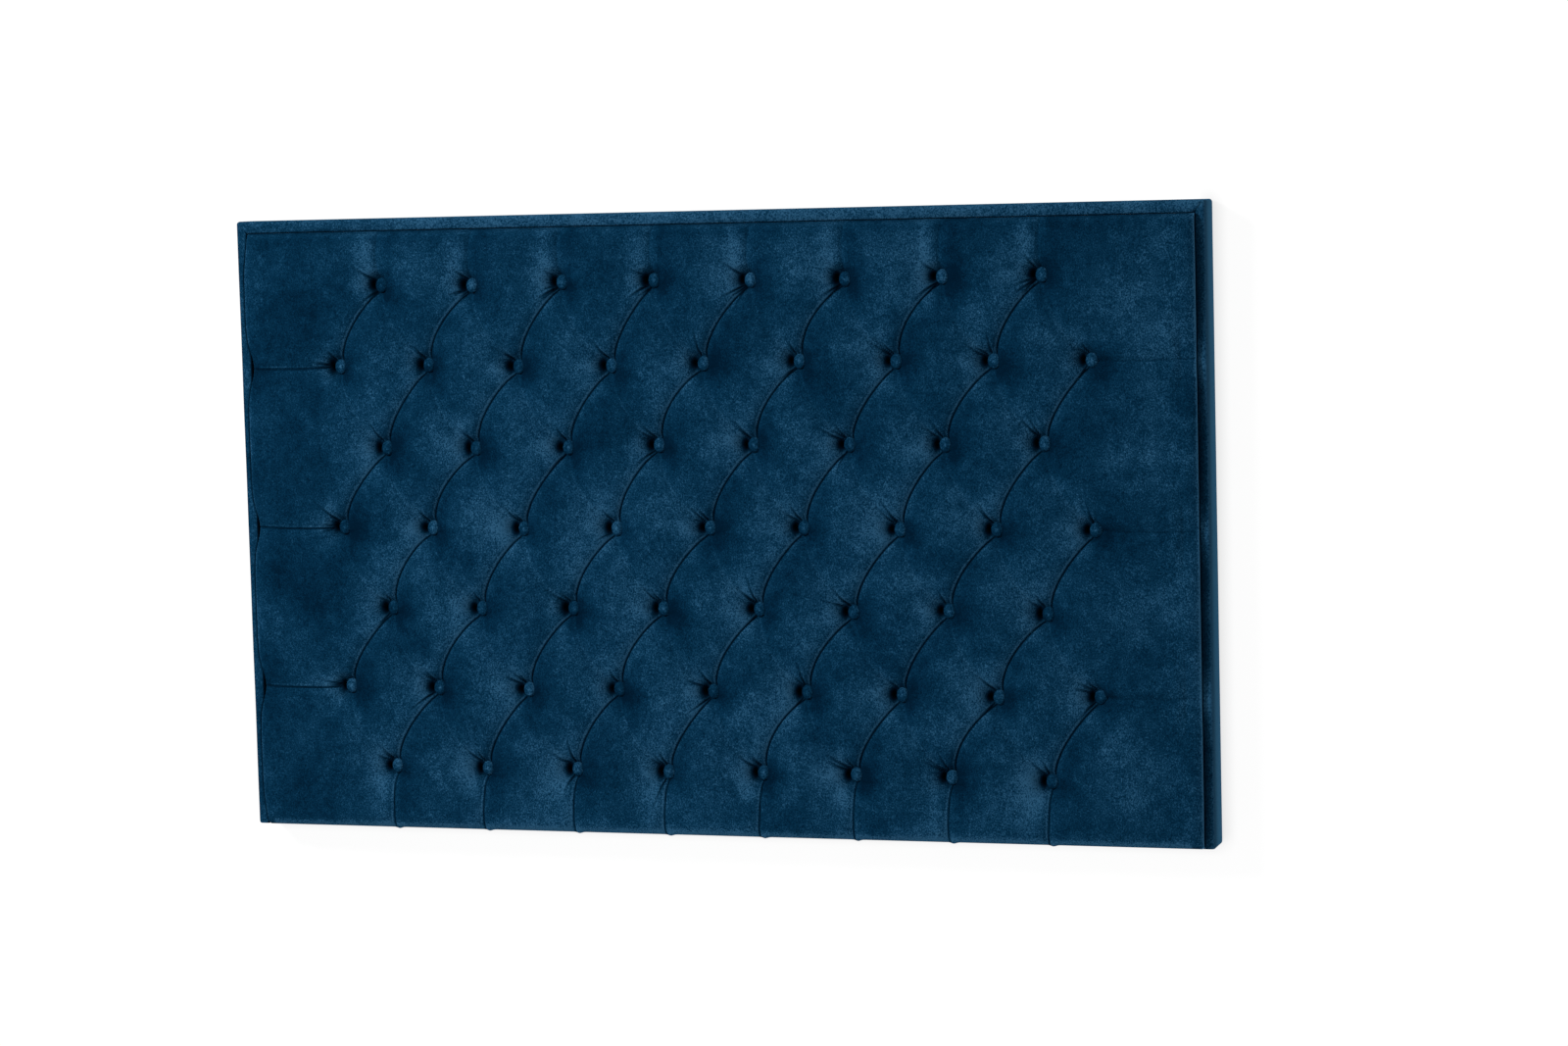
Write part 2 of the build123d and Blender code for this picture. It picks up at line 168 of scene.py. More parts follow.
# Rings of a felt pad: share of its radius, and rise from its face
FELT_RINGS = [(0.96, 0.0), (1.0, 0.2), (1.0, 0.7), (0.97, 0.92), (0.9, 0.985), (0.5, 1.0)]
FELT_SIDES = 48

# Where the panel's sides hide the rim: heights and insets, kept for each side
rim_hidden = {}


def smooth(value):
    """0 below 0, 1 above 1 and an even ease between them."""
    share = np.clip(value, 0.0, 1.0)
    return share * share * (3 - 2 * share)


def shift(across, up):
    """A step across and up the board, given in millimetres."""
    return np.array([across, up]) * MM


def placed(name, data):
    """A new object in the scene."""
    made = bpy.data.objects.new(name, data)
    bpy.context.scene.collection.objects.link(made)
    return made


def mesh_piece(name, points, faces, material):
    """A new mesh piece, smooth shaded, that rides on the part's one body."""
    mesh = bpy.data.meshes.new(name)
    mesh.from_pydata([tuple(p) for p in points], [], [tuple(f) for f in faces])
    mesh.validate()
    mesh.polygons.foreach_set("use_smooth", [True] * len(mesh.polygons))
    mesh.materials.append(material)
    piece = placed(name, mesh)
    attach(piece, "root")
    return piece


def grid_faces(rows, columns, start=0):
    """Quads over a grid of points that is stored row by row."""
    low = (np.arange(rows - 1)[:, None] * columns + np.arange(columns - 1)).ravel() + start
    return np.stack([low, low + 1, low + columns + 1, low + columns], 1).tolist()


def ring_faces(rings, size, first=0):
    """Quads between closed rings of points that are stored ring by ring."""
    faces = []
    for low in range(first, first + (rings - 1) * size, size):
        for spot in range(size):
            here, there = low + spot, low + (spot + 1) % size
            faces.append((here, there, there + size, here + size))
    return faces


def border(rows, columns):
    """The points round the edge of a grid."""
    index = np.arange(rows * columns).reshape(rows, columns)
    return np.concatenate([index[0], index[1:, -1], index[-1, -2::-1], index[-2:0:-1, 0]])


def wall_faces(loop, other):
    """Quads between two closed loops of points."""
    return list(zip(loop, other, np.roll(other, -1), np.roll(loop, -1)))


def turn_outward(piece):
    """Makes the faces of a closed mesh point outwards."""
    shape = bmesh.new()
    shape.from_mesh(piece.data)
    bmesh.ops.remove_doubles(shape, verts=shape.verts, dist=1e-6)
    bmesh.ops.recalc_face_normals(shape, faces=shape.faces)
    shape.to_mesh(piece.data)
    shape.free()


def add_values(piece, name, values):
    """Keeps one value for each point of a mesh, for its material to read."""
    layer = piece.data.attributes.new(name, "FLOAT", "POINT")
    layer.data.foreach_set("value", np.asarray(values, np.float32).ravel())


# Buttoned panel
def button_places():
    """Row, column and centre of each button; hand-tied, so each is a little off the grid."""
    places = []
    for row, z in enumerate(row_places):
        count = SHORT_ROW + row % 2
        for column in range(count):
            x = (2 * column - count + 1) * HALF_PITCH
            off = rng.uniform(-BUTTON_SHIFT, BUTTON_SHIFT, 2)
            places.append((row, column, x + off[0], z + off[1]))
    return places


buttons = button_places()
centres = {(row, column): np.array([x, z]) for row, column, x, z in buttons}


def lower_neighbour(row, column, side):
    """The button of the next row that lies to the lower left (-1) or lower right (1)."""
    step = (side - 1) // 2 if row % 2 else (side + 1) // 2
    return centres.get((row + 1, column + step))


def drawn_at_hem(x, width):
    """How near a place along the bottom edge is to a tuck of the lowest row."""
    return sum(np.exp(-((x - at) / width) ** 2) for row, _, at, _ in buttons if row == ROW_COUNT - 1)


def bend(start, middle, end, count):
    """Points along a curve that starts towards middle and arrives from it."""
    t = np.linspace(0, 1, count)[:, None]
    return (1 - t) ** 2 * start + 2 * t * (1 - t) * middle + t ** 2 * end


def long_bend(start, first, second, end, t):
    """Points along a curve with two middle points."""
    early, late = 3 * t * (1 - t) ** 2, 3 * t ** 2 * (1 - t)
    return (1 - t) ** 3 * start + early * first + late * second + t ** 3 * end


class Panel:
    """The height of the velvet over the buttons' floor, on a grid in x and z, with masks of painted light
    and shade: tone (painted sheen), line (painted crease shade), lip (painted highlight) and the pocket of
    painted shade.
    """

    def __init__(self):
        start = inner_half - SIDE_ROLL
        self.x = np.linspace(-start, start, int(2 * start / CELL) + 1)
        self.z = np.linspace(bottom_z, inner_top - EDGE_GAP, int((inner_top - bottom_z) / CELL) + 1)
        self.X, self.Z = np.meshgrid(self.x, self.z)
        self.dip, self.ridge, self.tone = (np.zeros_like(self.X) for _ in range(3))
        self.line, self.lip, self.pocket_shade = (np.zeros_like(self.X) for _ in range(3))

    def window(self, low, high, reach):
        """The part of the grid within reach of a box."""
        columns = slice(*np.searchsorted(self.x, (low[0] - reach, high[0] + reach)))
        rows = slice(*np.searchsorted(self.z, (low[1] - reach, high[1] + reach)))
        return rows, columns

    def beside(self, points, reach):
        """Round a curve: the window, place along it, side of it, distance, and distance past its ends."""
        view = self.window(points.min(0), points.max(0), reach)
        px, pz = self.X[view], self.Z[view]
        away = (px[..., None] - points[:, 0]) ** 2 + (pz[..., None] - points[:, 1]) ** 2
        nearest = away.argmin(-1)
        way = np.gradient(points, axis=0)
        way /= np.linalg.norm(way, axis=1)[:, None]
        dx, dz = px - points[nearest, 0], pz - points[nearest, 1]
        wx, wz = way[nearest, 0], way[nearest, 1]
        side = np.where(dx * wz - dz * wx < 0, -1.0, 1.0)
        at_end = (nearest == 0) | (nearest == len(points) - 1)
        past = np.where(at_end, np.abs(dx * wx + dz * wz), 0.0)
        return view, nearest / (len(points) - 1), side, np.abs(dx * wz - dz * wx), past

    def fold(self, points, depth, left, right, crisp, line=1.0, lip=1.0):
        """Lets a fold into the puffs, with a painted dark line of shade along it and a painted highlight on
        the lip beside it. Its widths left and right of the way it runs may differ.
        """
        crease, fade_reach, near_reach = 2.6 * MM, 4 * MM, 2 * MM
        line_place, line_width, lip_place, lip_width = -0.5 * MM, 1.3 * MM, 2.6 * MM, 1.4 * MM
        view, along, side, away, past = self.beside(points, REACH)
        deep = np.interp(along, np.linspace(0, 1, len(depth)), depth)
        width = np.where(side < 0, left, right)
        slope = crisp * np.exp(-away / crease) + (1 - crisp) * np.exp(-(away / width) ** 1.5)
        self.dip[view] += (deep * slope * np.exp(-(past / fade_reach) ** 2)) ** BLEND_POWER
        near = np.exp(-(past / near_reach) ** 2)
        mark = near * line * np.exp(-((away * side - line_place) / line_width) ** 2)
        self.line[view] = np.maximum(self.line[view], mark)
        raised = near * lip * np.exp(-((away * side - lip_place) / lip_width) ** 2)
        self.lip[view] = np.maximum(self.lip[view], raised)

    def wrinkle(self, points, height, width):
        """A fine drawn crease with a raised lip beside it; the crease is painted dark as shade and the lip
        painted light as a highlight.
        """
        window_reach, end_reach = 14 * MM, 2 * MM
        view, along, side, away, past = self.beside(points, window_reach)
        swell = (1 - along) ** 1.1 * np.exp(-(past / end_reach) ** 2)
        crease = np.exp(-(away / width) ** 2)
        lip = np.exp(-((away - 1.7 * width) / width) ** 2)
        self.ridge[view] += height * swell * (0.7 * lip - crease)
        self.line[view] = np.maximum(self.line[view], np.minimum(1.1 * swell * crease, 0.9))
        self.lip[view] = np.maximum(self.lip[view], 0.8 * swell * lip * (side > 0))

    def sink(self, x, z, deep):
        """The hollow round one button: a steep wall at its edge and a long slope beyond, with painted shade
        in a pocket left of the button and round its edge, and blobs of painted sheen and shade round it.
        """
        wall_reach, wall_narrowing, slope_reach, shade_reach = 10 * MM, 5.2 * MM, 41 * MM, 3.6 * MM
        view = self.window((x, z), (x, z), REACH * 1.5)
        dx, dz = self.X[view] - x, self.Z[view] - z
        out = np.hypot(dx, dz)
        right = 0.5 + 0.5 * dx / np.maximum(out, 1e-6)
        away = np.maximum(out - BUTTON_RADIUS * (1.24 - 0.66 * right), 0.0)
        steep = 0.42 + 0.22 * right
        wall = steep * np.exp(-(away / (wall_reach - wall_narrowing * right)) ** 1.6)
        slope = (1 - steep) * np.exp(-(away / slope_reach) ** 1.15)
        self.dip[view] += (deep * (wall + slope)) ** BLEND_POWER
        # Painted shade: a dark pocket left of the button and a faint ring round its edge.
        wide, tall = rng.uniform(6.4, 8.2) * MM, rng.uniform(9.5, 12.5) * MM
        left = ((dx + BUTTON_RADIUS + 2 * MM) / wide) ** 2 + ((dz - 1 * MM) / tall) ** 2
        hollow = np.maximum(np.exp(-left ** 1.7), 0.4 * np.exp(-(away / shade_reach) ** 1.6))
        self.pocket_shade[view] = np.maximum(self.pocket_shade[view], hollow)
        for cx, cz, wide, tall, amount in PAINTED_SHEEN_BLOBS:
            amount *= rng.uniform(0.55, 1.35)
            cx, cz = (v * MM + rng.uniform(-5, 5) * MM for v in (cx, cz))
            blob = np.exp(-(((dx - cx) / (wide * MM)) ** 2 + ((dz - cz) / (tall * MM)) ** 2))
            self.tone[view] += amount * blob

    def height(self):
        """Crown of the puffs less the folds and hollows, rolled down at the top and bottom."""
        soft, floor = 0.8 * MM, SEAT_RISE + 0.25 * MM
        side = smooth((np.abs(self.X) - SIDE_CROWN_START) / (inner_half - SIDE_CROWN_START))
        above = CROWN + (SIDE_CROWN - CROWN) * side - self.dip ** (1 / BLEND_POWER)
        above = floor + np.logaddexp(0, (above - floor) / soft) * soft
        above += self.ridge * np.clip((above - SEAT_RISE) / (6 * MM), 0, 1)
        top = np.clip((inner_top - self.Z) / TOP_ROLL, 0, 1)
        low = np.clip((self.Z - bottom_z) / BOTTOM_ROLL, 0, 1)
        for share in (top, low):
            above = EDGE_REST + (above - EDGE_REST) * np.sqrt(1 - (1 - share) ** 2)
        return above


def tuck_share(z):
    """How near a height is to a level tuck that draws the sides in, from 0 to 1; 1 at the corners."""
    near = sum(np.exp(-((z - row_places[row]) / TUCK_REACH) ** 2) for row in range(1, ROW_COUNT, 2))
    top = np.exp(-((inner_top - z) / TOP_REACH) ** 2)
    low = np.exp(-((z - bottom_z) / BOTTOM_REACH) ** 2)
    return np.minimum(near + 0.7 * top + 0.6 * low, 1.0)


def slanting_fold(panel, upper, lower):
    """The crisp pleat from the lower left of one button to the head of the next."""
    start = upper + shift(-6.5, -11.5)
    end = lower + shift(4.5, 11)
    bow = rng.uniform(-3, 5)
    first = start + shift(-19 - bow, -18 + 0.3 * bow)
    second = end + shift(6 - 0.7 * bow, 42 + bow)
    line = long_bend(start, first, second, end, np.linspace(0, 1, 70)[:, None])
    panel.fold(line, SLANT_DEPTHS * rng.uniform(0.92, 1.05), left=30 * MM, right=18 * MM, crisp=0.3)


def facing_fold(panel, upper, lower):
    """The slack fold from under one button to the upper left of the next; it hardly creases."""
    start = upper + shift(2.5, -11)
    end = lower + shift(-8, 8)
    middle = np.array([start[0] + 17 * MM, start[1] - 0.55 * (start[1] - end[1])])
    line = bend(start, middle + rng.uniform(-4, 4, 2) * MM, end, 60)
    panel.fold(line, FACING_DEPTHS, left=19 * MM, right=21 * MM, crisp=0.06, line=0.0, lip=0.3)


def gathers(panel, centre, row, column):
    """Fine wrinkles fanning out from the upper left and the lower left of one button."""
    fans = COMMON_FANS[: int(rng.integers(1, 4))]
    if rng.uniform() < 0.4:
        fans = fans + [LOWER_FAN]
    if column == 0 and row % 2:
        fans = SIDE_FANS
    if row == 0:
        fans = TOP_FANS
    for middle, spread, count in fans:
        for _ in range(count):
            turn = math.radians(middle + rng.uniform(-spread, spread))
            reach = rng.uniform(30, 62)
            bow = turn + math.radians(rng.uniform(-13, 13))
            start = centre + 11 * shift(math.cos(turn), math.sin(turn))
            end = centre + reach * shift(math.cos(bow), math.sin(bow))
            line = bend(start, (start + end) / 2 + rng.uniform(-3, 3, 2) * MM, end, 24)
            panel.wrinkle(line, height=rng.uniform(0.8, 2.2) * MM, width=rng.uniform(1.3, 1.8) * MM)


def edge_tuck(panel, centre, z_edge):
    """The upright tuck from an end row's button to the top or bottom edge, with painted sheen left and
    painted shade right of it.
    """
    drop = z_edge < centre[1]
    way = -1 if drop else 1
    start = centre + shift(-1, way * 10)
    end = np.array([centre[0] + way * rng.uniform(2, 7) * MM, z_edge])
    middle_height = (start[1] + end[1]) / 2
    middle = np.array([centre[0] - 5 * MM, middle_height]) + rng.uniform(-2, 2, 2) * MM
    left, right = (30 * MM, 15 * MM) if drop else (16 * MM, 24 * MM)
    panel.fold(bend(start, middle, end, 50), EDGE_DEPTHS, left, right, crisp=0.22,
               line=0.8 if drop else 0.1, lip=0.8 * drop)
    light_place, dark_place, light_width, dark_width, band_height = (v * MM for v in (-24, 20, 15, 17, 46))
    # Painted sheen left and painted shade right of the tuck, weaker where it runs down to the bottom edge.
    light = 0.34 * np.exp(-((panel.X - centre[0] - light_place) / light_width) ** 2)
    dark = 0.26 * np.exp(-((panel.X - centre[0] - dark_place) / dark_width) ** 2)
    tall = np.exp(-((panel.Z - middle_height) / band_height) ** 2)
    panel.tone += (light - dark) * tall * (0.45 if drop else 1.0) * rng.uniform(0.6, 1.2)


def side_tuck(panel, centre, side):
    """The level tuck from an outermost button to the side, where it draws the edge down."""
    start = centre + shift(side * 10.5, -1)
    end = np.array([side * inner_half, centre[1] + rng.uniform(-2, 2) * MM])
    middle = (start + end) / 2 + shift(0, rng.uniform(-3, 3))
    panel.fold(bend(start, middle, end, 70), SIDE_DEPTHS, left=15 * MM, right=13 * MM, crisp=0.18,
               line=0.8 if side < 0 else 0.2, lip=0.5 * (side < 0))
    outer = bend(end - shift(side * 34, 0), end - shift(side * 17, 0), end, 16)
    panel.fold(outer, DRAW_DEPTHS, left=44 * MM, right=44 * MM, crisp=0.0, line=0.0, lip=0.0)


def shaped_panel():
    panel = Panel()
    for row, column, x, z in buttons:
        centre = centres[row, column]
        panel.sink(x, z, CROWN - SEAT_RISE)
        for side, fold in ((-1, slanting_fold), (1, facing_fold)):
            lower = lower_neighbour(row, column, side)
            if lower is not None:
                fold(panel, centre, lower)
        gathers(panel, centre, row, column)
        if row in (0, ROW_COUNT - 1):
            edge_tuck(panel, centre, inner_top if row == 0 else bottom_z)
        if row % 2 and column in (0, SHORT_ROW):
            side_tuck(panel, centre, -1 if column == 0 else 1)
    return panel


def softened(values, reach):
    """The values averaged over squares of the grid, three times, so that only broad slopes stay."""
    cells = max(int(reach / CELL), 1)
    for axis in (0, 1) * 3:
        spare = [(0, 0), (0, 0)]
        spare[axis] = (cells + 1, cells)
        total = np.cumsum(np.pad(values, spare, "edge"), axis)
        size = values.shape[axis]
        upper = np.take(total, range(2 * cells + 1, 2 * cells + 1 + size), axis)
        values = (upper - np.take(total, range(size), axis)) / (2 * cells + 1)
    return values


def seen_on_rim(side, surface):
    """Where the camera sees points of a side against the rim's face, as insets from the board's side."""
    rim_y = rim_back + RIM_PROFILE[RIM_HIGHEST][1] * MM
    sight = (CAMERA_FROM_CENTRE.x - side * half_width) / CAMERA_FROM_CENTRE.y
    return half_width - side * (surface[..., 0] + (rim_y - surface[..., 1]) * sight)


def left_roll(lift, t, drawn):
    """Distance past the start of the roll, and height, where the left side bulges against the rim."""
    bulge = LEFT_BULGE * smooth(lift / (11 * MM)) * (1 - drawn)
    start, end = np.zeros_like(lift), SIDE_ROLL - EDGE_GAP - LEFT_DRAW * drawn
    along = long_bend(start, 0.85 * end + bulge, end + 1.75 * bulge + 1 * MM, end, t)
    return along, EDGE_REST + long_bend(lift, lift, 0.12 * lift, -ROLL_TUCK, t)


def right_roll(lift, t, drawn):
    """The same for the right side, whose crisp edge hangs a little over the rim."""
    foot = SIDE_ROLL - EDGE_GAP
    crest = foot + RIGHT_HANG * smooth(lift / (3 * MM)) * (1 - 0.15 * drawn)
    turn = np.clip(t / WALL_START, 0, 1) * math.pi / 2
    down = np.clip((t - WALL_START) / (1 - WALL_START), 0, 1)
    along = crest * np.sin(turn) + (foot - crest) * down
    return along, EDGE_REST + lift * (0.5 + 0.5 * np.cos(turn)) * (1 - down) - ROLL_TUCK * down


def rolled_side(panel, height, turned, side):
    """Places of one rolled side and its four masks of painted light and shade: lean, line, hollow and lip.
    """
    edge, roll = (0, left_roll) if side < 0 else (-1, right_roll)
    t = np.linspace(0, 1, ROLL_STEPS + 1)[1:]
    along, lifted = roll((height[:, edge] - EDGE_REST)[:, None], t, tuck_share(panel.z)[:, None])
    upright = np.repeat(panel.z[:, None], ROLL_STEPS, 1)
    block = np.stack([side * (panel.x[-1] + along), floor_y - lifted, upright], -1)
    fall = np.linspace(0, 1, ROLL_STEPS)
    inset = seen_on_rim(side, block)
    rim_hidden[side] = (panel.z, inset.min(1))
    ridge = fall[inset.argmin(1)][:, None]
    # Painted sheen on the roll, lighter on the right; painted shade past the ridge; a painted highlight on
    # the crest, strongest on the right.
    lean = turned[:, edge, None] * (1 - fall) + 0.25 * side * fall
    line = np.maximum(panel.line[:, edge, None] * (1 - fall), 0.7 * smooth((fall - ridge) / 0.2))
    crest = np.exp(-((fall - ridge + 0.07) / 0.13) ** 2)
    lit = 1.1 * crest * (side > 0)
    lip = (0.5 + 0.4 * (side > 0)) * crest
    return [value[:, ::side] for value in (block, lean, line - lit, -lit, lip)]


def tufted_panel(material):
    """The buttoned velvet front with its rolled sides, closed behind where it lies on the foam."""
    panel = shaped_panel()
    height = panel.height()
    # Painted sheen: slopes facing right or down are painted lighter and those facing left or up darker; a
    # painted highlight strip lies under the top edge, a painted light band along the bottom roll, and the
    # panel is a little darker towards the far left and the top.
    broad = softened(height, 9 * MM)
    lean_x = -np.gradient(broad, panel.x, axis=1)
    lean_z = np.gradient(broad, panel.z, axis=0)
    top_band = np.exp(-((inner_top - panel.Z - 5 * MM) / (4 * MM)) ** 2)
    hem_band = np.exp(-(np.maximum(panel.Z - bottom_z - 5 * MM, 0) / (6 * MM)) ** 2)
    far_left = smooth((-panel.X - 0.55) / 0.12)
    upper = smooth((panel.Z + 0.3) / 0.25)
    turned = 0.9 * lean_x + 0.25 * lean_z + panel.tone + 0.2 * top_band - 0.24 * far_left - 0.07 * upper
    turned = np.clip(turned, -1, 1)
    front = np.stack([panel.X, floor_y - height, panel.Z], -1)
    tuck_width, tuck_out, tuck_down = 5 * MM, 1.2 * MM, 1.8 * MM
    tuck = drawn_at_hem(panel.X, tuck_width) * np.exp(-((panel.Z - bottom_z) / tuck_width) ** 2)
    front -= tuck[..., None] * np.array([0, tuck_out, tuck_down])
    middle = [front, turned, panel.line, panel.pocket_shade, np.maximum(panel.lip, 0.8 * hem_band)]
    left, right = (rolled_side(panel, height, turned, side) for side in (-1, 1))
    surface, *masks = (np.concatenate(blocks, 1) for blocks in zip(left, middle, right))
    rows, across = surface.shape[:2]
    surface = surface.reshape(-1, 3)
    loop = border(rows, across)
    behind = surface[loop]
    behind[:, 0] = np.clip(behind[:, 0], pad_low.x, pad_high.x)
    behind[:, 1] = foam_low.y
    behind[:, 2] = np.maximum(behind[:, 2], bottom_z)
    back = np.arange(len(loop)) + len(surface)
    faces = grid_faces(rows, across) + wall_faces(loop, back) + [back]
    piece = mesh_piece("tufted_panel", np.concatenate([surface, behind]), faces, material)
    # The panel's masks: painted sheen, painted crease shade, painted hollow shade, and painted highlight.
    for name, values in zip(("painted_sheen_lean", "painted_shade", "painted_hollow_shade", "painted_light_and_tone"), masks):
        add_values(piece, name, np.concatenate([values.ravel(), np.zeros(len(loop))]))
    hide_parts("tufted_pad")


def cover_button(x, z, first):
    """One cloth-covered button: a soft dome with a gathered edge, turned a little as it was tied."""
    wide, tall = 0.94 * BUTTON_RADIUS, 1.09 * BUTTON_RADIUS
    depth = button_high.y - button_low.y
    tilt = rng.uniform(-0.1, 0.1, 2)
    phase = rng.uniform(0, 2 * math.pi)
    points = []
    for share, rise in BUTTON_DOME:
        for turn in np.arange(BUTTON_SIDES) * 2 * math.pi / BUTTON_SIDES:
            pucker = 1 + 0.012 * math.sin(9 * turn + phase) * share
            px = wide * share * pucker * math.cos(turn)
            pz = tall * share * pucker * math.sin(turn)
            points.append((x + px, button_high.y - depth * rise + tilt[0] * px + tilt[1] * pz, z + pz))
    top = first + len(points)
    last = top - BUTTON_SIDES
    points += [(x, button_low.y, z), (x, button_high.y - BUTTON_BACK * depth, z)]
    faces = ring_faces(len(BUTTON_DOME), BUTTON_SIDES, first)
    for side in range(BUTTON_SIDES):
        after = (side + 1) % BUTTON_SIDES
        faces += [(last + side, last + after, top), (first + after, first + side, top + 1)]
    return points, faces


def covered_buttons(material):
    points, faces, light = [], [], []
    for _, _, x, z in buttons:
        more, quads = cover_button(x, z, len(points))
        points += more
        faces += quads
        # Each button has a random tone, and its top point a painted highlight.
        tone = rng.uniform(-0.22, 0.12)
        light += [tone] * (len(more) - 2) + [tone + 0.4, tone]
    piece = mesh_piece("covered_buttons", points, faces, material)
    add_values(piece, "painted_light_and_tone", light)
    turn_outward(piece)
    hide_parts("tuft_buttons")


# Rim
def rim_profile():
    """Inset from the board's outer side, and depth, round the section of the rim's padded cover."""
    outer = [(inset * MM, rim_back + depth * MM) for inset, depth in RIM_PROFILE]
    middle = RIM_FACE / 2
    inner = []
    for inset, y in reversed(outer):
        thinned = middle + (inset - middle) * (1 - RIM_SKIN / middle)
        inner.append((thinned, min(y + RIM_SKIN, rim_back - RIM_SKIN)))
    inner[0] = (inner[0][0], outer[-1][1])
    inner[-1] = (outer[0][0], inner[-1][1])
    return outer + inner


def rim_sections():
    """Round the rim from its left foot to its right foot: kind, side, place along it and draw."""
    rounding = bottom_z + CORNER_RADIUS * np.array([0, 0.25, 0.55])
    leg = []
    for z in (*rounding, *np.linspace(bottom_z + CORNER_RADIUS, top_z - CORNER_RADIUS, LEG_STEPS)):
        below = 1 - min((z - bottom_z) / CORNER_RADIUS, 1)
        leg.append((z, CORNER_RADIUS * (1 - math.sqrt(max(1 - below ** 2, 0)))))
    across = half_width - CORNER_RADIUS
    return [
        *(("leg", -1, z, draw) for z, draw in leg),
        *(("corner", -1, turn, 0) for turn in np.linspace(180, 90, CORNER_STEPS)[1:-1]),
        *(("head", 0, x, 0) for x in np.linspace(-across, across, HEAD_STEPS)),
        *(("corner", 1, turn, 0) for turn in np.linspace(90, 0, CORNER_STEPS)[1:-1]),
        *(("leg", 1, z, draw) for z, draw in reversed(leg)),
    ]


def rim_point(kind, side, place, draw, inset, y):
    """A point of a section, whose place is a height on a leg, an x on the head, an angle at a corner."""
    reach = max(inset, CORNER_RADIUS)
    if kind == "leg":
        limit = RIM_FACE / 2
        pulled = inset + max(limit - inset, 0) * min(draw / limit, 1) * 0.4
        return side * (half_width - pulled), y, min(place, top_z - reach)
    if kind == "head":
        held = half_width - reach
        return float(np.clip(place, -held, held)), y, top_z - inset
    radius = max(CORNER_RADIUS - inset, 0)
    turn = math.radians(place)
    return side * (half_width - reach) + radius * math.cos(turn), y, top_z - reach + radius * math.sin(turn)


def rim_points(profile, sections):
    """The points of the rim's cover: a little uneven, and wrapped far round the back at the feet."""
    wrap_lift = {0: 0.6 * MM, len(profile) - 1: RIM_SKIN + 0.1 * MM}
    points = []
    for number, (kind, side, place, draw) in enumerate(sections):
        for spot, (inset, y) in enumerate(profile):
            soft = RIM_SOFT * math.sin(0.23 * number + 0.35 * spot) * math.sin(0.057 * number)
            lift = soft if 2 < spot < len(RIM_PROFILE) - 2 and kind != "corner" else 0
            height = place
            if kind == "leg" and spot in wrap_lift:
                wrapped = 1 - smooth((place - FOOT_WRAP_TOP) / FOOT_WRAP_EASE)
                inset += FOOT_WRAP * wrapped
                lift = wrap_lift[spot] * wrapped
            if number in (0, len(sections) - 1) and spot >= len(RIM_PROFILE):
                height += FOOT_SOLE
            points.append(rim_point(kind, side, height, draw, inset, y + lift))
    return points


def rim_masks(profile, sections):
    """Painted shade and light on the rim: painted shade beside the panel and a painted shadow of it,
    painted light at the outer right and towards the right.
    """
    shades, lights = [], []
    for kind, side, place, _ in sections:
        hidden, reach, depth, lit, cast = RIM_FACE, 0.8 * MM, 1.0, 0.0, 0.0
        if kind == "leg":
            tucked = float(tuck_share(place))
            hidden = min(float(np.interp(place, *rim_hidden[side])), 19 * MM)
            reach, depth, lit = 2.6 * MM, 0.72, -0.06
            if side > 0:
                reach, depth, lit = 2 * MM, 0.75, 0.14 + 0.12 * tucked
            cast = 0.5 * (1 - tucked) * (side > 0)
        elif kind == "head":
            lit = 0.24 * smooth((place / half_width + 1) / 0.6)
        elif side > 0:
            lit = 0.22
        # Painted shade beside the panel and painted shadow cast by it; painted light on the outer right
        # side.
        for spot, (inset, y) in enumerate(profile):
            beside = depth * smooth((inset - hidden + 0.4 * MM) / reach + 1)
            outside = smooth((3 * MM - inset) / (2.4 * MM)) * (side > 0)
            bright = outside * smooth((y - rim_back + 52 * MM) / (26 * MM))
            shade = max(beside, cast * min(inset / hidden, 1)) - bright
            shades.append(shade if spot < len(RIM_PROFILE) else 1.0)
            lights.append(lit + 0.7 * outside)
    return shades, lights


def velvet_rim(material):
    """The padded cover of the rim: one strip of velvet round the top and both sides, with closed feet."""
    profile = rim_profile()
    sections = rim_sections()
    points = rim_points(profile, sections)
    size, inner = len(profile), len(RIM_PROFILE)
    faces = ring_faces(len(sections), size)
    for side, first in ((-1, 0), (1, len(points) - size)):
        corner = len(points)
        x = side * (half_width - RIM_FACE - 0.2 * MM)
        points += [(x, rim_back + 0.4 * MM, bottom_z + rise) for rise in (0.0, FOOT_SOLE)]
        faces += [(*range(first, first + inner), corner), (*range(first + inner, first + size), corner + 1),
                  (first + inner - 1, first + inner, corner + 1, corner),
                  (first, corner, corner + 1, first + size - 1)]
    piece = mesh_piece("velvet_rim", points, faces, material)
    shades, lights = rim_masks(profile, sections)
    corners = len(points) - len(shades)
    add_values(piece, "painted_shade", shades + [0.3] * corners)
    add_values(piece, "painted_light_and_tone", lights + [0.0] * corners)
    turn_outward(piece)
    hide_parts("top_rim_cover", "left_rim_cover", "right_rim_cover")


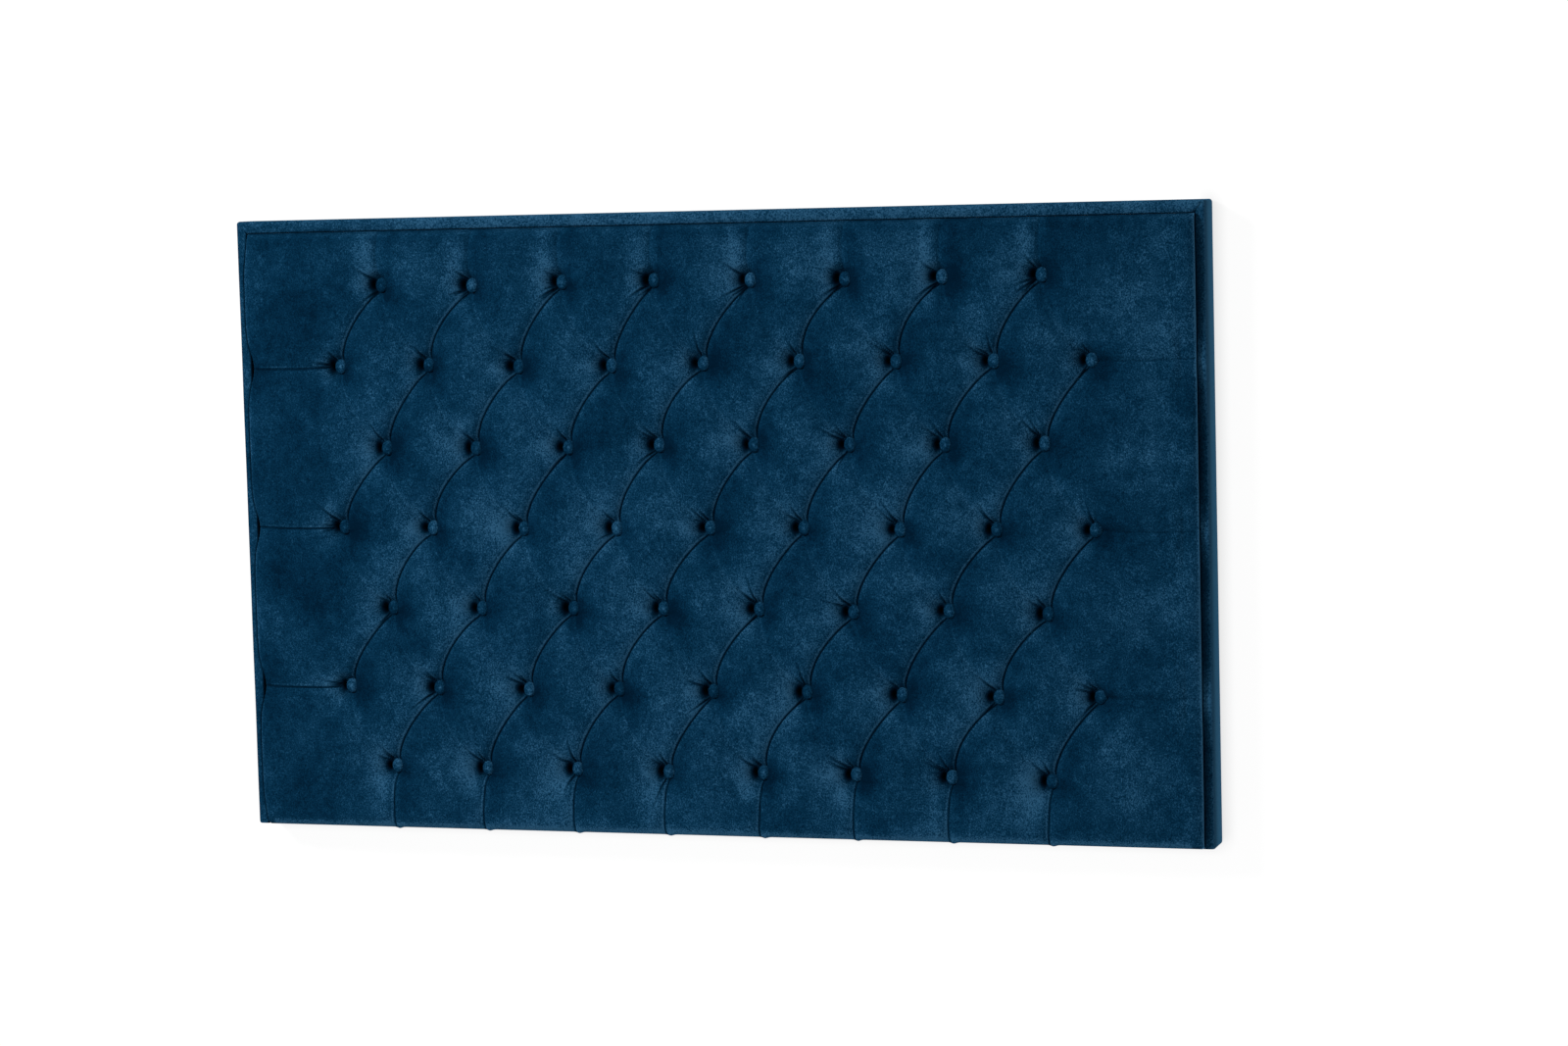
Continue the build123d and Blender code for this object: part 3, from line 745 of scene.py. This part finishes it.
def tucked_hem(material):
    """The panel's cloth turned under the board and stapled up the back."""
    back = wrap_high.y
    height = wrap_high.z - wrap_low.z
    outer = [(wrap_low.y, 0), (wrap_low.y / 2, 0), (back - 3 * MM, 0), (back - 0.8 * MM, 0.6 * MM),
             (back, 3 * MM), (back, 12 * MM), (back, 26 * MM), (back + 0.2 * MM, height - 1.5 * MM),
             (back - 0.4 * MM, height)]
    points = []
    for x in np.linspace(wrap_low.x, wrap_high.x, HEM_STEPS):
        drawn = HEM_DRAW * drawn_at_hem(x, 7 * MM)
        ripple = 0.5 * MM * math.sin(x * 97) * math.sin(x * 31)
        for y, rise in outer:
            share = rise / height
            z = bottom_z + rise + ripple * share - drawn * (1 - share)
            points.append((x, y - 0.5 * HEM_SKIN * share, z))
        for y, rise in reversed(outer):
            under = HEM_SKIN if rise < 1 * MM else 0
            points.append((x, y - HEM_SKIN if rise > 0 else y, bottom_z + rise + under))
    size = 2 * len(outer)
    ends = [range(size), range(len(points) - 1, len(points) - size - 1, -1)]
    piece = mesh_piece("tucked_hem", points, ring_faces(HEM_STEPS, size) + ends, material)
    turn_outward(piece)
    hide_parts("bottom_wrap")


# Back of the board
def stepped(breaks, step):
    """Places along a line that hit every break and are about a step apart."""
    spans = [np.linspace(a, b, max(int((b - a) / step), 1) + 1)[:-1] for a, b in zip(breaks, breaks[1:])]
    return np.concatenate([*spans, [breaks[-1]]])


def back_lining(material):
    """The thin black cloth stapled over the back, slack between the battens and cut out at the hangers."""
    low, high = lining_low.copy(), lining_high
    low.z -= HEM_OVERLAP
    wide, tall = PLATE_ROOM
    windows = [side * HANGER_PLACE + edge * wide for side in (-1, 1) for edge in (-1, 1)]
    x = stepped([low.x, *windows, high.x], LINING_STEP)
    z = stepped([low.z, PLATE_MIDDLE - tall, PLATE_MIDDLE + tall, high.z], LINING_STEP)
    X, Z = np.meshgrid(x, z)
    rails = np.minimum(np.abs(Z - (inner_top - RAIL / 2)), np.abs(Z - (bottom_z + RAIL / 2))) - RAIL / 2
    outer = np.abs(np.abs(X) - (inner_half - RAIL / 2)) - RAIL / 2
    middle = np.abs(np.abs(X) - MID_STILE_PLACE) - MID_STILE / 2
    block = np.maximum(np.abs(np.abs(X) - HANGER_PLACE) - BLOCK / 2, np.abs(Z) - BLOCK / 2)
    off = np.minimum(np.minimum(rails, outer), np.minimum(middle, block))
    wave = 0.75 + 0.25 * np.sin(X * 21 + 1.3 * np.sin(Z * 9)) * np.sin(Z * 17)
    sag = LINING_SAG * smooth(off / LINING_EASE) * wave
    edge = np.minimum(np.minimum(X - x[0], x[-1] - X), np.minimum(Z - z[0], z[-1] - Z))
    pull = 0.1 * MM * np.sin((X + Z) * 105) * np.exp(-((edge - 20 * MM) / (12 * MM)) ** 2) * (off < 0)
    over = 1 - smooth((Z - wrap_high.z) / (10 * MM))
    hem = 0.35 * MM * (edge < 12 * MM) * (1 - over)
    rest = (high.y - LINING_REST) * (1 - over) + (wrap_high.y + LINING_OVER_HEM) * over
    Y = rest - sag + pull + hem
    points = np.stack([X, Y, Z], -1).reshape(-1, 3)
    faces = []
    for a, b, c, d in grid_faces(len(z), len(x)):
        cx, cz = (points[a] + points[c])[[0, 2]] / 2
        if abs(abs(cx) - HANGER_PLACE) >= wide or abs(cz - PLATE_MIDDLE) >= tall:
            faces.append((a, d, c, b))
    piece = mesh_piece("back_lining", points, faces, material)
    # Painted light and shade by the slope of the slack cloth.
    slope = np.gradient(Y, z, axis=0) * 2.2 + np.gradient(Y, x, axis=1) * 1.4
    add_values(piece, "painted_slope_shade", np.clip(slope, -0.35, 0.35))
    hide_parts("dust_cover")


def staple(x, y, z, turn, first):
    """One wire staple: a flat crown with its two legs just going in."""
    half, corner = STAPLE_WIDTH / 2, STAPLE_WIDTH / 2 - 0.5 * MM
    path = [(-half, -STAPLE_LEG), (-half, -0.1 * MM), (-corner, STAPLE_RISE), (corner, STAPLE_RISE),
            (half, -0.1 * MM), (half, -STAPLE_LEG)]
    section = [(-STAPLE_WIRE, 0), (-STAPLE_WIRE, STAPLE_WIRE), (STAPLE_WIRE, STAPLE_WIRE), (STAPLE_WIRE, 0)]
    points = []
    for along, rise in path:
        for across, lift in section:
            px = x + along * math.cos(turn) - across * math.sin(turn)
            pz = z + along * math.sin(turn) + across * math.cos(turn)
            points.append((px, y + rise + lift, pz))
    size, last = len(section), first + len(points)
    ends = [range(first, first + size), range(last - 1, last - size - 1, -1)]
    return points, ring_faces(len(path), size, first) + ends


def staple_row(name, places, material):
    points, faces = [], []
    for x, y, z, turn in places:
        more, quads = staple(x, y, z, turn + rng.uniform(-0.12, 0.12), len(points))
        points += more
        faces += quads
    piece = mesh_piece(name, points, faces, material)
    piece.data.polygons.foreach_set("use_smooth", [False] * len(piece.data.polygons))
    turn_outward(piece)


def staples(material):
    inset = 7 * MM
    face = lining_high.y - 0.05 * MM
    left, right = lining_low.x + inset, lining_high.x - inset
    low, high = lining_low.z + 10 * MM, lining_high.z - inset
    places = []
    for x in np.linspace(left + 20 * MM, right - 20 * MM, 27):
        places += [(x, face, z, rng.uniform(-0.1, 0.1)) for z in (low, high)]
    for z in np.linspace(low + 30 * MM, high - 30 * MM, 16):
        places += [(x, face, z, math.pi / 2) for x in (left, right)]
    staple_row("lining_staples", places, material)
    hem = [(x, wrap_high.y, bottom_z + 30 * MM + rng.uniform(-2, 2) * MM, rng.uniform(-0.2, 0.2))
           for x in np.linspace(wrap_low.x + 18 * MM, wrap_high.x - 18 * MM, 34)]
    staple_row("hem_staples", hem, material)


def felt_pads(material):
    """Two pressed felt discs with soft edges, stuck on near the lower corners."""
    low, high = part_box("bumper_pads")
    radius = (high.z - low.z) / 2
    points, faces = [], []
    for x in (low.x + radius, high.x - radius):
        first = len(points)
        for share, rise in FELT_RINGS:
            y = low.y + (high.y - low.y) * rise
            for turn in np.arange(FELT_SIDES) * 2 * math.pi / FELT_SIDES:
                reach = radius * share * (1 - 0.012 * rng.uniform(0, 1))
                points.append((x + reach * math.cos(turn), y, low.z + radius + reach * math.sin(turn)))
        last = len(points) - FELT_SIDES
        faces += ring_faces(len(FELT_RINGS), FELT_SIDES, first)
        faces += [range(first + FELT_SIDES - 1, first - 1, -1), range(last, last + FELT_SIDES)]
    piece = mesh_piece("felt_pads", points, faces, material)
    turn_outward(piece)
    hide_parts("bumper_pads")


def foam_core(material):
    """The foam slab under the puffs: its cut edges are a little uneven."""
    x = np.linspace(foam_low.x, foam_high.x, 80)
    z = np.linspace(foam_low.z, foam_high.z, 50)
    X, Z = np.meshgrid(x, z)
    edge = (np.abs(X) > x[-1] - 1e-6) | (Z < z[0] + 1e-6) | (Z > z[-1] - 1e-6)
    soft = 0.4 * MM * (1 + np.sin(X * 61) * np.sin(Z * 53))
    X = X - np.sign(X) * soft * edge
    inward = 0.15 * soft + 1.2 * MM * edge
    layers = [np.stack([X, Y, Z], -1).reshape(-1, 3) for Y in (foam_low.y + inward, foam_high.y - inward)]
    rows, columns = X.shape
    loop = border(rows, columns)
    back = [quad[::-1] for quad in grid_faces(rows, columns, X.size)]
    faces = grid_faces(rows, columns) + back + wall_faces(loop, loop + X.size)
    piece = mesh_piece("foam_core", np.concatenate(layers), faces, material)
    turn_outward(piece)
    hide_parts("foam_slab")


# Materials
class Value:
    """An output of a shader tree. Plain arithmetic with it adds the math nodes."""

    def __init__(self, socket):
        self.socket = socket
        self.tree = socket.id_data

    def math(self, operation, *inputs):
        made = self.tree.nodes.new("ShaderNodeMath")
        made.operation = operation
        for target, value in zip(made.inputs, inputs):
            give(target, value)
        return Value(made.outputs[0])

    def __add__(self, other):
        return self.math("ADD", self, other)

    def __sub__(self, other):
        return self.math("SUBTRACT", self, other)

    def __rsub__(self, other):
        return self.math("SUBTRACT", other, self)

    def __mul__(self, other):
        return self.math("MULTIPLY", self, other)

    def at_least(self, other):
        return self.math("MAXIMUM", self, other)

    def at_most(self, other):
        return self.math("MINIMUM", self, other)

    def sine(self):
        return self.math("SINE", self)


def give(target, value):
    """Links a value to an input, or sets a constant on it."""
    if isinstance(value, Value):
        value.tree.links.new(value.socket, target)
    else:
        target.default_value = value


def give_all(made, **inputs):
    """Links or sets inputs by their names, which have _ for a space."""
    for name, value in inputs.items():
        give(made.inputs[name.replace("_", " ")], value)


def node(tree, kind, settings=(), **inputs):
    made = tree.nodes.new(kind)
    for key, value in settings:
        setattr(made, key, value)
    give_all(made, **inputs)
    return made


def mask(tree, name):
    """A value that the mesh keeps for each point."""
    return Value(node(tree, "ShaderNodeAttribute", [("attribute_name", name)]).outputs["Fac"])


def coordinates(tree, kind="Object"):
    return Value(tree.nodes.new("ShaderNodeTexCoord").outputs[kind])


def split(tree, vector):
    """The x, y and z of a vector."""
    return [Value(socket) for socket in node(tree, "ShaderNodeSeparateXYZ", Vector=vector).outputs]


def noise(tree, place, scale, detail, roughness, stretch=None):
    """A noise value over places, stretched if asked."""
    if stretch:
        place = Value(node(tree, "ShaderNodeMapping", Vector=place, Scale=stretch).outputs[0])
    made = node(tree, "ShaderNodeTexNoise", Vector=place, Scale=scale, Detail=detail, Roughness=roughness)
    return Value(made.outputs["Fac"])


def ramp(tree, value, stops):
    """The colour that a value has along the stops."""
    made = node(tree, "ShaderNodeValToRGB", Fac=value)
    while len(made.color_ramp.elements) < len(stops):
        made.color_ramp.elements.new(0.5)
    for element, (place, colour) in zip(made.color_ramp.elements, stops):
        element.position = place
        element.color = (*colour, 1)
    return Value(made.outputs["Color"])


def relief(tree, height, strength, depth):
    """A normal turned by the slopes of a value."""
    return Value(node(tree, "ShaderNodeBump", Strength=strength, Distance=depth, Height=height).outputs[0])


def new_group(name, inputs, outputs):
    """A shader group of plain values: its tree, its inputs by name and its end node."""
    tree = bpy.data.node_groups.new(name, "ShaderNodeTree")
    for label, value in inputs.items():
        socket = tree.interface.new_socket(name=label, in_out="INPUT", socket_type="NodeSocketFloat")
        socket.default_value = value
    for label in outputs:
        tree.interface.new_socket(name=label, in_out="OUTPUT", socket_type="NodeSocketFloat")
    start = tree.nodes.new("NodeGroupInput")
    return tree, {label: Value(start.outputs[label]) for label in inputs}, tree.nodes.new("NodeGroupOutput")


def group_values(tree, group, **inputs):
    """The outputs of a group that is used in a material."""
    made = node(tree, "ShaderNodeGroup", [("node_tree", group)], **inputs)
    return [Value(socket) for socket in made.outputs]


def new_material(name):
    material = bpy.data.materials.new(name)
    material.use_nodes = True
    tree = material.node_tree
    return material, tree, tree.nodes["Principled BSDF"]


def crushed_pile_group():
    """Mottling of crushed velvet: its bruised patches, the grain of the tips, and the relief of both."""
    tree, given, end = new_group("crushed_pile", {"Patch Size": 9.0, "Grain Size": 520.0},
                                 ("Patches", "Grain", "Lift"))
    where = coordinates(tree)
    broad = noise(tree, where, given["Patch Size"], 5.0, 0.62)
    mottle = noise(tree, where, given["Patch Size"] * 6.0, 6.0, 0.8)
    grain = noise(tree, where, given["Grain Size"], 3.0, 0.75, stretch=(1.0, 1.0, 0.75))
    give_all(end, Patches=broad * 0.55 + mottle * 0.45, Grain=grain, Lift=grain * 0.8 + mottle * 0.2)
    return tree


# Velvet tones, from painted shade where the pile lies away from the light to painted sheen where it catches
# it
VELVET_TONES = [(0.0, (0.0006, 0.0090, 0.0230)), (0.30, (0.0014, 0.0205, 0.0495)),
                (0.50, (0.0028, 0.0295, 0.0675)), (0.74, (0.0085, 0.0530, 0.1130)),
                (1.0, (0.0260, 0.1000, 0.1900))]
MIDDLE_TONE = 0.47
MOTTLE = 1.9
LINE_SHADE, HOLLOW_SHADE = 0.92, 0.96
SPECKLE_SLOPE, SPECKLE, LEAST_SPECKLE = 2.6, 2.3, 1.2


def velvet(name, pile, worked, painted_sheen_facing=(0.0, 0.0), lighten=0.0, patch=9.0, sheen=0.0):
    """Crushed velvet with painted light and shade. The worked panel keeps its own masks of painted sheen,
    shade and highlight; the others get painted sheen by the way they face.
    """
    material, tree, shader = new_material(name)
    patches, grain, lift = group_values(tree, pile, Patch_Size=patch)
    lip = mask(tree, "painted_light_and_tone")
    shade = mask(tree, "painted_shade") * LINE_SHADE
    # Painted sheen and shade: from the panel's masks, or from the way the surface faces.
    if worked:
        lean = mask(tree, "painted_sheen_lean") * 0.55 + lip * 0.62
        shade = shade.at_least(mask(tree, "painted_hollow_shade") * HOLLOW_SHADE)
    else:
        across, _, up = split(tree, coordinates(tree, "Normal"))
        lean = across * painted_sheen_facing[0] + up * painted_sheen_facing[1] + lip
    turned = lean + (patches - 0.5) * MOTTLE
    speckle = (turned * SPECKLE_SLOPE + SPECKLE).at_least(LEAST_SPECKLE)
    tone = (turned + (grain - 0.5) * speckle + (MIDDLE_TONE + lighten)).at_most(1.0)
    bare = 1.0 - shade
    darker = node(tree, "ShaderNodeMix", [("data_type", "RGBA"), ("blend_type", "MULTIPLY")],
                  Factor=1.0, A=ramp(tree, tone * bare, VELVET_TONES), B=bare)
    give_all(shader, Base_Color=Value(darker.outputs["Result"]), Roughness=0.9, Specular_IOR_Level=0.0,
             Sheen_Weight=sheen, Sheen_Roughness=0.35, Sheen_Tint=(0.12, 0.42, 0.70, 1),
             Normal=relief(tree, lift, 0.6, 0.8 * MM))
    return material


def grain_group():
    """Long grain and pores of sawn wood, along x or turned upright."""
    tree, given, end = new_group("wood_grain", {"Ring Size": 26.0, "Upright": 0.0}, ("Grain", "Pores"))
    turned = Value(node(tree, "ShaderNodeVectorRotate", [("rotation_type", "AXIS_ANGLE")], Axis=(0, 1, 0),
                        Vector=coordinates(tree), Angle=given["Upright"] * (math.pi / 2)).outputs[0])
    bands = noise(tree, turned, given["Ring Size"], 4.0, 0.6, stretch=(0.06, 1.0, 1.0))
    pores = noise(tree, turned, 900.0, 3.0, 0.6, stretch=(0.03, 1.0, 1.0))
    give_all(end, Grain=bands, Pores=pores)
    return tree


def timber(name, grain, dark, light, upright=0.0, rings=26.0):
    material, tree, shader = new_material(name)
    bands, pores = group_values(tree, grain, Ring_Size=rings, Upright=upright)
    middle = tuple((a + b) / 2 for a, b in zip(dark, light))
    colour = ramp(tree, bands * 0.75 + pores * 0.25, [(0.34, dark), (0.48, middle), (0.62, light)])
    give_all(shader, Base_Color=colour, Roughness=0.62, Normal=relief(tree, pores, 0.25, 0.3 * MM))
    return material


def mottled(name, dark, light, scale, roughness, depth, metal=0.0, stretch=None, sheen=0.0):
    """A surface that varies between two tones, with relief of the same grain."""
    material, tree, shader = new_material(name)
    value = noise(tree, coordinates(tree), scale, 5.0, 0.6, stretch)
    if metal:
        uneven = node(tree, "ShaderNodeMapRange", Value=value,
                      To_Min=roughness - 0.1, To_Max=roughness + 0.12)
        roughness = Value(uneven.outputs[0])
    give_all(shader, Base_Color=ramp(tree, value, [(0.32, dark), (0.68, light)]), Roughness=roughness,
             Metallic=metal, Sheen_Weight=sheen, Normal=relief(tree, value, 0.5, depth))
    return material


def lining_cloth():
    """Black non-woven cloth with its pattern of small pressed points, and painted light and shade from the
    slope of its sag.
    """
    material, tree, shader = new_material("lining_black")
    where = coordinates(tree)
    across, _, up = split(tree, where)
    pressed = (across * 2600.0).sine() * (up * 2600.0).sine()
    value = pressed * 0.22 + noise(tree, where, 700.0, 4.0, 0.7, stretch=(1.0, 1.0, 0.35))
    tones = [(0.25, (0.008, 0.008, 0.009)), (0.9, (0.060, 0.060, 0.064))]
    give_all(shader, Base_Color=ramp(tree, value + mask(tree, "painted_slope_shade"), tones), Roughness=0.85,
             Specular_IOR_Level=0.25, Normal=relief(tree, value, 0.5, 0.25 * MM))
    return material


def ply_layers():
    """Birch plywood: a figured face, and layers that show on the cut edges."""
    material, tree, shader = new_material("birch_ply")
    where = coordinates(tree)
    face = noise(tree, where, 14.0, 5.0, 0.6, stretch=(0.12, 1.0, 1.0))
    layer = (split(tree, where)[1] * 4200.0).sine()
    colour = ramp(tree, face + layer * 0.08, [(0.3, (0.44, 0.29, 0.16)), (0.7, (0.68, 0.50, 0.32))])
    give_all(shader, Base_Color=colour, Roughness=0.6, Normal=relief(tree, face, 0.2, 0.2 * MM))
    return material


def dress_frame(steel, fixing):
    """Gives the carried-over pieces of the frame their wood, steel and twine."""
    grain = grain_group()
    level, upright = (timber(name, grain, (0.50, 0.31, 0.15), (0.76, 0.56, 0.34), turned)
                      for name, turned in (("pine_level", 0.0), ("pine_upright", 1.0)))
    beech = timber("beech_block", grain, (0.42, 0.24, 0.13), (0.64, 0.43, 0.27), rings=60.0)
    twine = mottled("waxed_twine", (0.50, 0.44, 0.33), (0.80, 0.75, 0.62), 900.0, 0.6, 0.2 * MM,
                    stretch=(1.0, 0.3, 1.0))
    dressed = [
        (ply_layers(), ("plywood_board",)),
        (level, ("top_rail", "bottom_rail", "top_rim_strip")),
        (upright, ("left_stile", "left_middle_stile", "right_middle_stile", "right_stile",
                   "left_rim_strip", "right_rim_strip")),
        (beech, ("hanger_blocks", "twine_toggles")),
        (twine, ("tuft_twines",)),
        (steel, ("hanger_plates",)),
        (fixing, ("hanger_screws", "lap_screws", "rim_screws")),
    ]
    for material, names in dressed:
        for name in names:
            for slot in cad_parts[name].material_slots:
                slot.material = material


# Stage, light and camera
FLOOR_DROP = 0.43
WALL_GAP = 1.5 * MM
CONTACT_REACH = 24 * MM
CONTACT_SHADE = 0.36
STAGE_HALF, STAGE_FRONT, STAGE_TOP = 6.0, -7.0, 4.0
SKY_SEEN, SKY_LIGHT = 0.76, 0.24


def photo_camera():
    base = Matrix(((1, 0, 0), (0, 0, -1), (0, 1, 0)))
    turns = ((YAW, "Z"), (PITCH, "X"), (ROLL, "Z"))
    yaw, pitch, roll = (Matrix.Rotation(turn, 3, axis) for turn, axis in turns)
    turned = roll @ pitch @ base @ yaw
    pose = Matrix((turned[0], -Vector(turned[1]), -Vector(turned[2]))).transposed().to_4x4()
    pose.translation = Vector((0, rim_front, middle_z)) + CAMERA_FROM_CENTRE
    data = bpy.data.cameras.new("camera")
    data.lens = LENS_MM
    data.sensor_width = 36
    camera = placed("camera", data)
    camera.matrix_world = pose
    bpy.context.scene.camera = camera


def lamp(name, away, size, power):
    """A soft square lamp that faces the middle of the board."""
    data = bpy.data.lights.new(name, "AREA")
    data.shape = "SQUARE"
    data.size = size
    data.energy = power
    made = placed(name, data)
    made.location = Vector((0, rim_front, middle_z)) + Vector(away)
    made.rotation_mode = "QUATERNION"
    made.rotation_quaternion = Vector(away).to_track_quat("Z", "Y")


def near_edge(place, edge, way):
    """Rises from 0 to 1 over the last of the way to an edge of the board, and stays 1 beyond."""
    past = (place - edge) * (way / CONTACT_REACH)
    return (past + 1.0).at_most(1.0).at_least(0.0)


def paper(name, diffuse, glow):
    """White paper: seen from its front only, with a painted contact shadow in its glow right of and below
    the board, and no hindrance to light.
    """
    material, tree, shader = new_material(name)
    tree.nodes.remove(shader)
    where = tree.nodes.new("ShaderNodeNewGeometry").outputs
    x, _, z = split(tree, Value(where["Position"]))
    close = node(tree, "ShaderNodeAmbientOcclusion", [("samples", 12)], Distance=CONTACT_REACH)
    # Painted contact shadow in the glow, only right of and below the board.
    lee = near_edge(x, half_width, 1).at_least(near_edge(z, bottom_z, -1)) * CONTACT_SHADE
    shade = (1.0 - Value(close.outputs["AO"])) * lee
    matt = node(tree, "ShaderNodeBsdfDiffuse", Color=(diffuse, diffuse, diffuse, 1))
    shine = node(tree, "ShaderNodeEmission", Strength=(1.0 - shade) * glow)
    both = node(tree, "ShaderNodeAddShader")
    camera_ray = Value(tree.nodes.new("ShaderNodeLightPath").outputs["Is Camera Ray"])
    seen = camera_ray * (1.0 - Value(where["Backfacing"]))
    clear = node(tree, "ShaderNodeBsdfTransparent")
    mix = node(tree, "ShaderNodeMixShader")
    out = tree.nodes["Material Output"]
    for source, target in ((matt.outputs[0], both.inputs[0]), (shine.outputs[0], both.inputs[1]),
                           (seen.socket, mix.inputs[0]), (clear.outputs[0], mix.inputs[1]),
                           (both.outputs[0], mix.inputs[2]), (mix.outputs[0], out.inputs["Surface"])):
        tree.links.new(source, target)
    return material


def backdrop(name, corners, material):
    mesh = bpy.data.meshes.new(name)
    mesh.from_pydata(corners, [], [(0, 1, 2, 3)])
    mesh.materials.append(material)
    placed(name, mesh)


def studio():
    """A white wall and floor, the key light from the upper left, two weak lamps and a pale sky."""
    white = paper("white_paper", 0.1, 0.94)
    floor_z = bottom_z - FLOOR_DROP
    floor_end = WALL_GAP - 1.5 * CONTACT_REACH
    span = (-STAGE_HALF, STAGE_HALF)
    low_wall = [(x, WALL_GAP, floor_z) for x in span]
    high_wall = [(x, WALL_GAP, STAGE_TOP) for x in reversed(span)]
    backdrop("wall", low_wall + high_wall, white)
    near_floor = [(x, STAGE_FRONT, floor_z) for x in span]
    far_floor = [(x, floor_end, floor_z) for x in reversed(span)]
    backdrop("floor", near_floor + far_floor, white)
    lamp("key_lamp", (-3.1, -3.4, 2.5), 1.0, 250)
    lamp("fill_lamp", (2.2, -4.6, 1.2), 2.6, 26)
    lamp("floor_bounce", (0.0, -0.9, -2.2), 2.6, 22)
    world = bpy.data.worlds.new("studio")
    world.use_nodes = True
    bpy.context.scene.world = world
    tree = world.node_tree
    path = tree.nodes.new("ShaderNodeLightPath").outputs
    seen = Value(path["Is Camera Ray"])
    for other in ("Is Glossy Ray", "Is Transmission Ray"):
        seen = seen.at_least(Value(path[other]))
    give_all(tree.nodes["Background"], Strength=seen * SKY_SEEN + SKY_LIGHT, Color=(1, 1, 1, 1))
    bpy.context.scene.view_settings.view_transform = "Standard"


# The object
photo_camera()
studio()
pile = crushed_pile_group()
panel_velvet = velvet("panel_velvet", pile, worked=True)
rim_velvet = velvet("rim_velvet", pile, worked=False, painted_sheen_facing=(0.10, 0.06), lighten=0.06, patch=22.0,
                    sheen=0.4)
button_velvet = velvet("button_velvet", pile, worked=False, painted_sheen_facing=(0.16, 0.12), lighten=0.05, patch=60.0)
tufted_panel(panel_velvet)
covered_buttons(button_velvet)
velvet_rim(rim_velvet)
tucked_hem(rim_velvet)
zinc = mottled("zinc_plate", (0.44, 0.46, 0.48), (0.66, 0.67, 0.68), 160.0, 0.36, 0.05 * MM, 1.0)
fixing_steel = mottled("fixing_steel", (0.42, 0.42, 0.40), (0.62, 0.61, 0.57), 300.0, 0.38, 0.04 * MM, 1.0)
dress_frame(zinc, fixing_steel)
back_lining(lining_cloth())
staples(fixing_steel)
felt_pads(mottled("grey_felt", (0.17, 0.17, 0.17), (0.36, 0.36, 0.35), 520.0, 0.95, 0.5 * MM, sheen=0.1))
foam_core(mottled("cream_foam", (0.66, 0.62, 0.50), (0.86, 0.83, 0.72), 420.0, 0.9, 0.6 * MM))
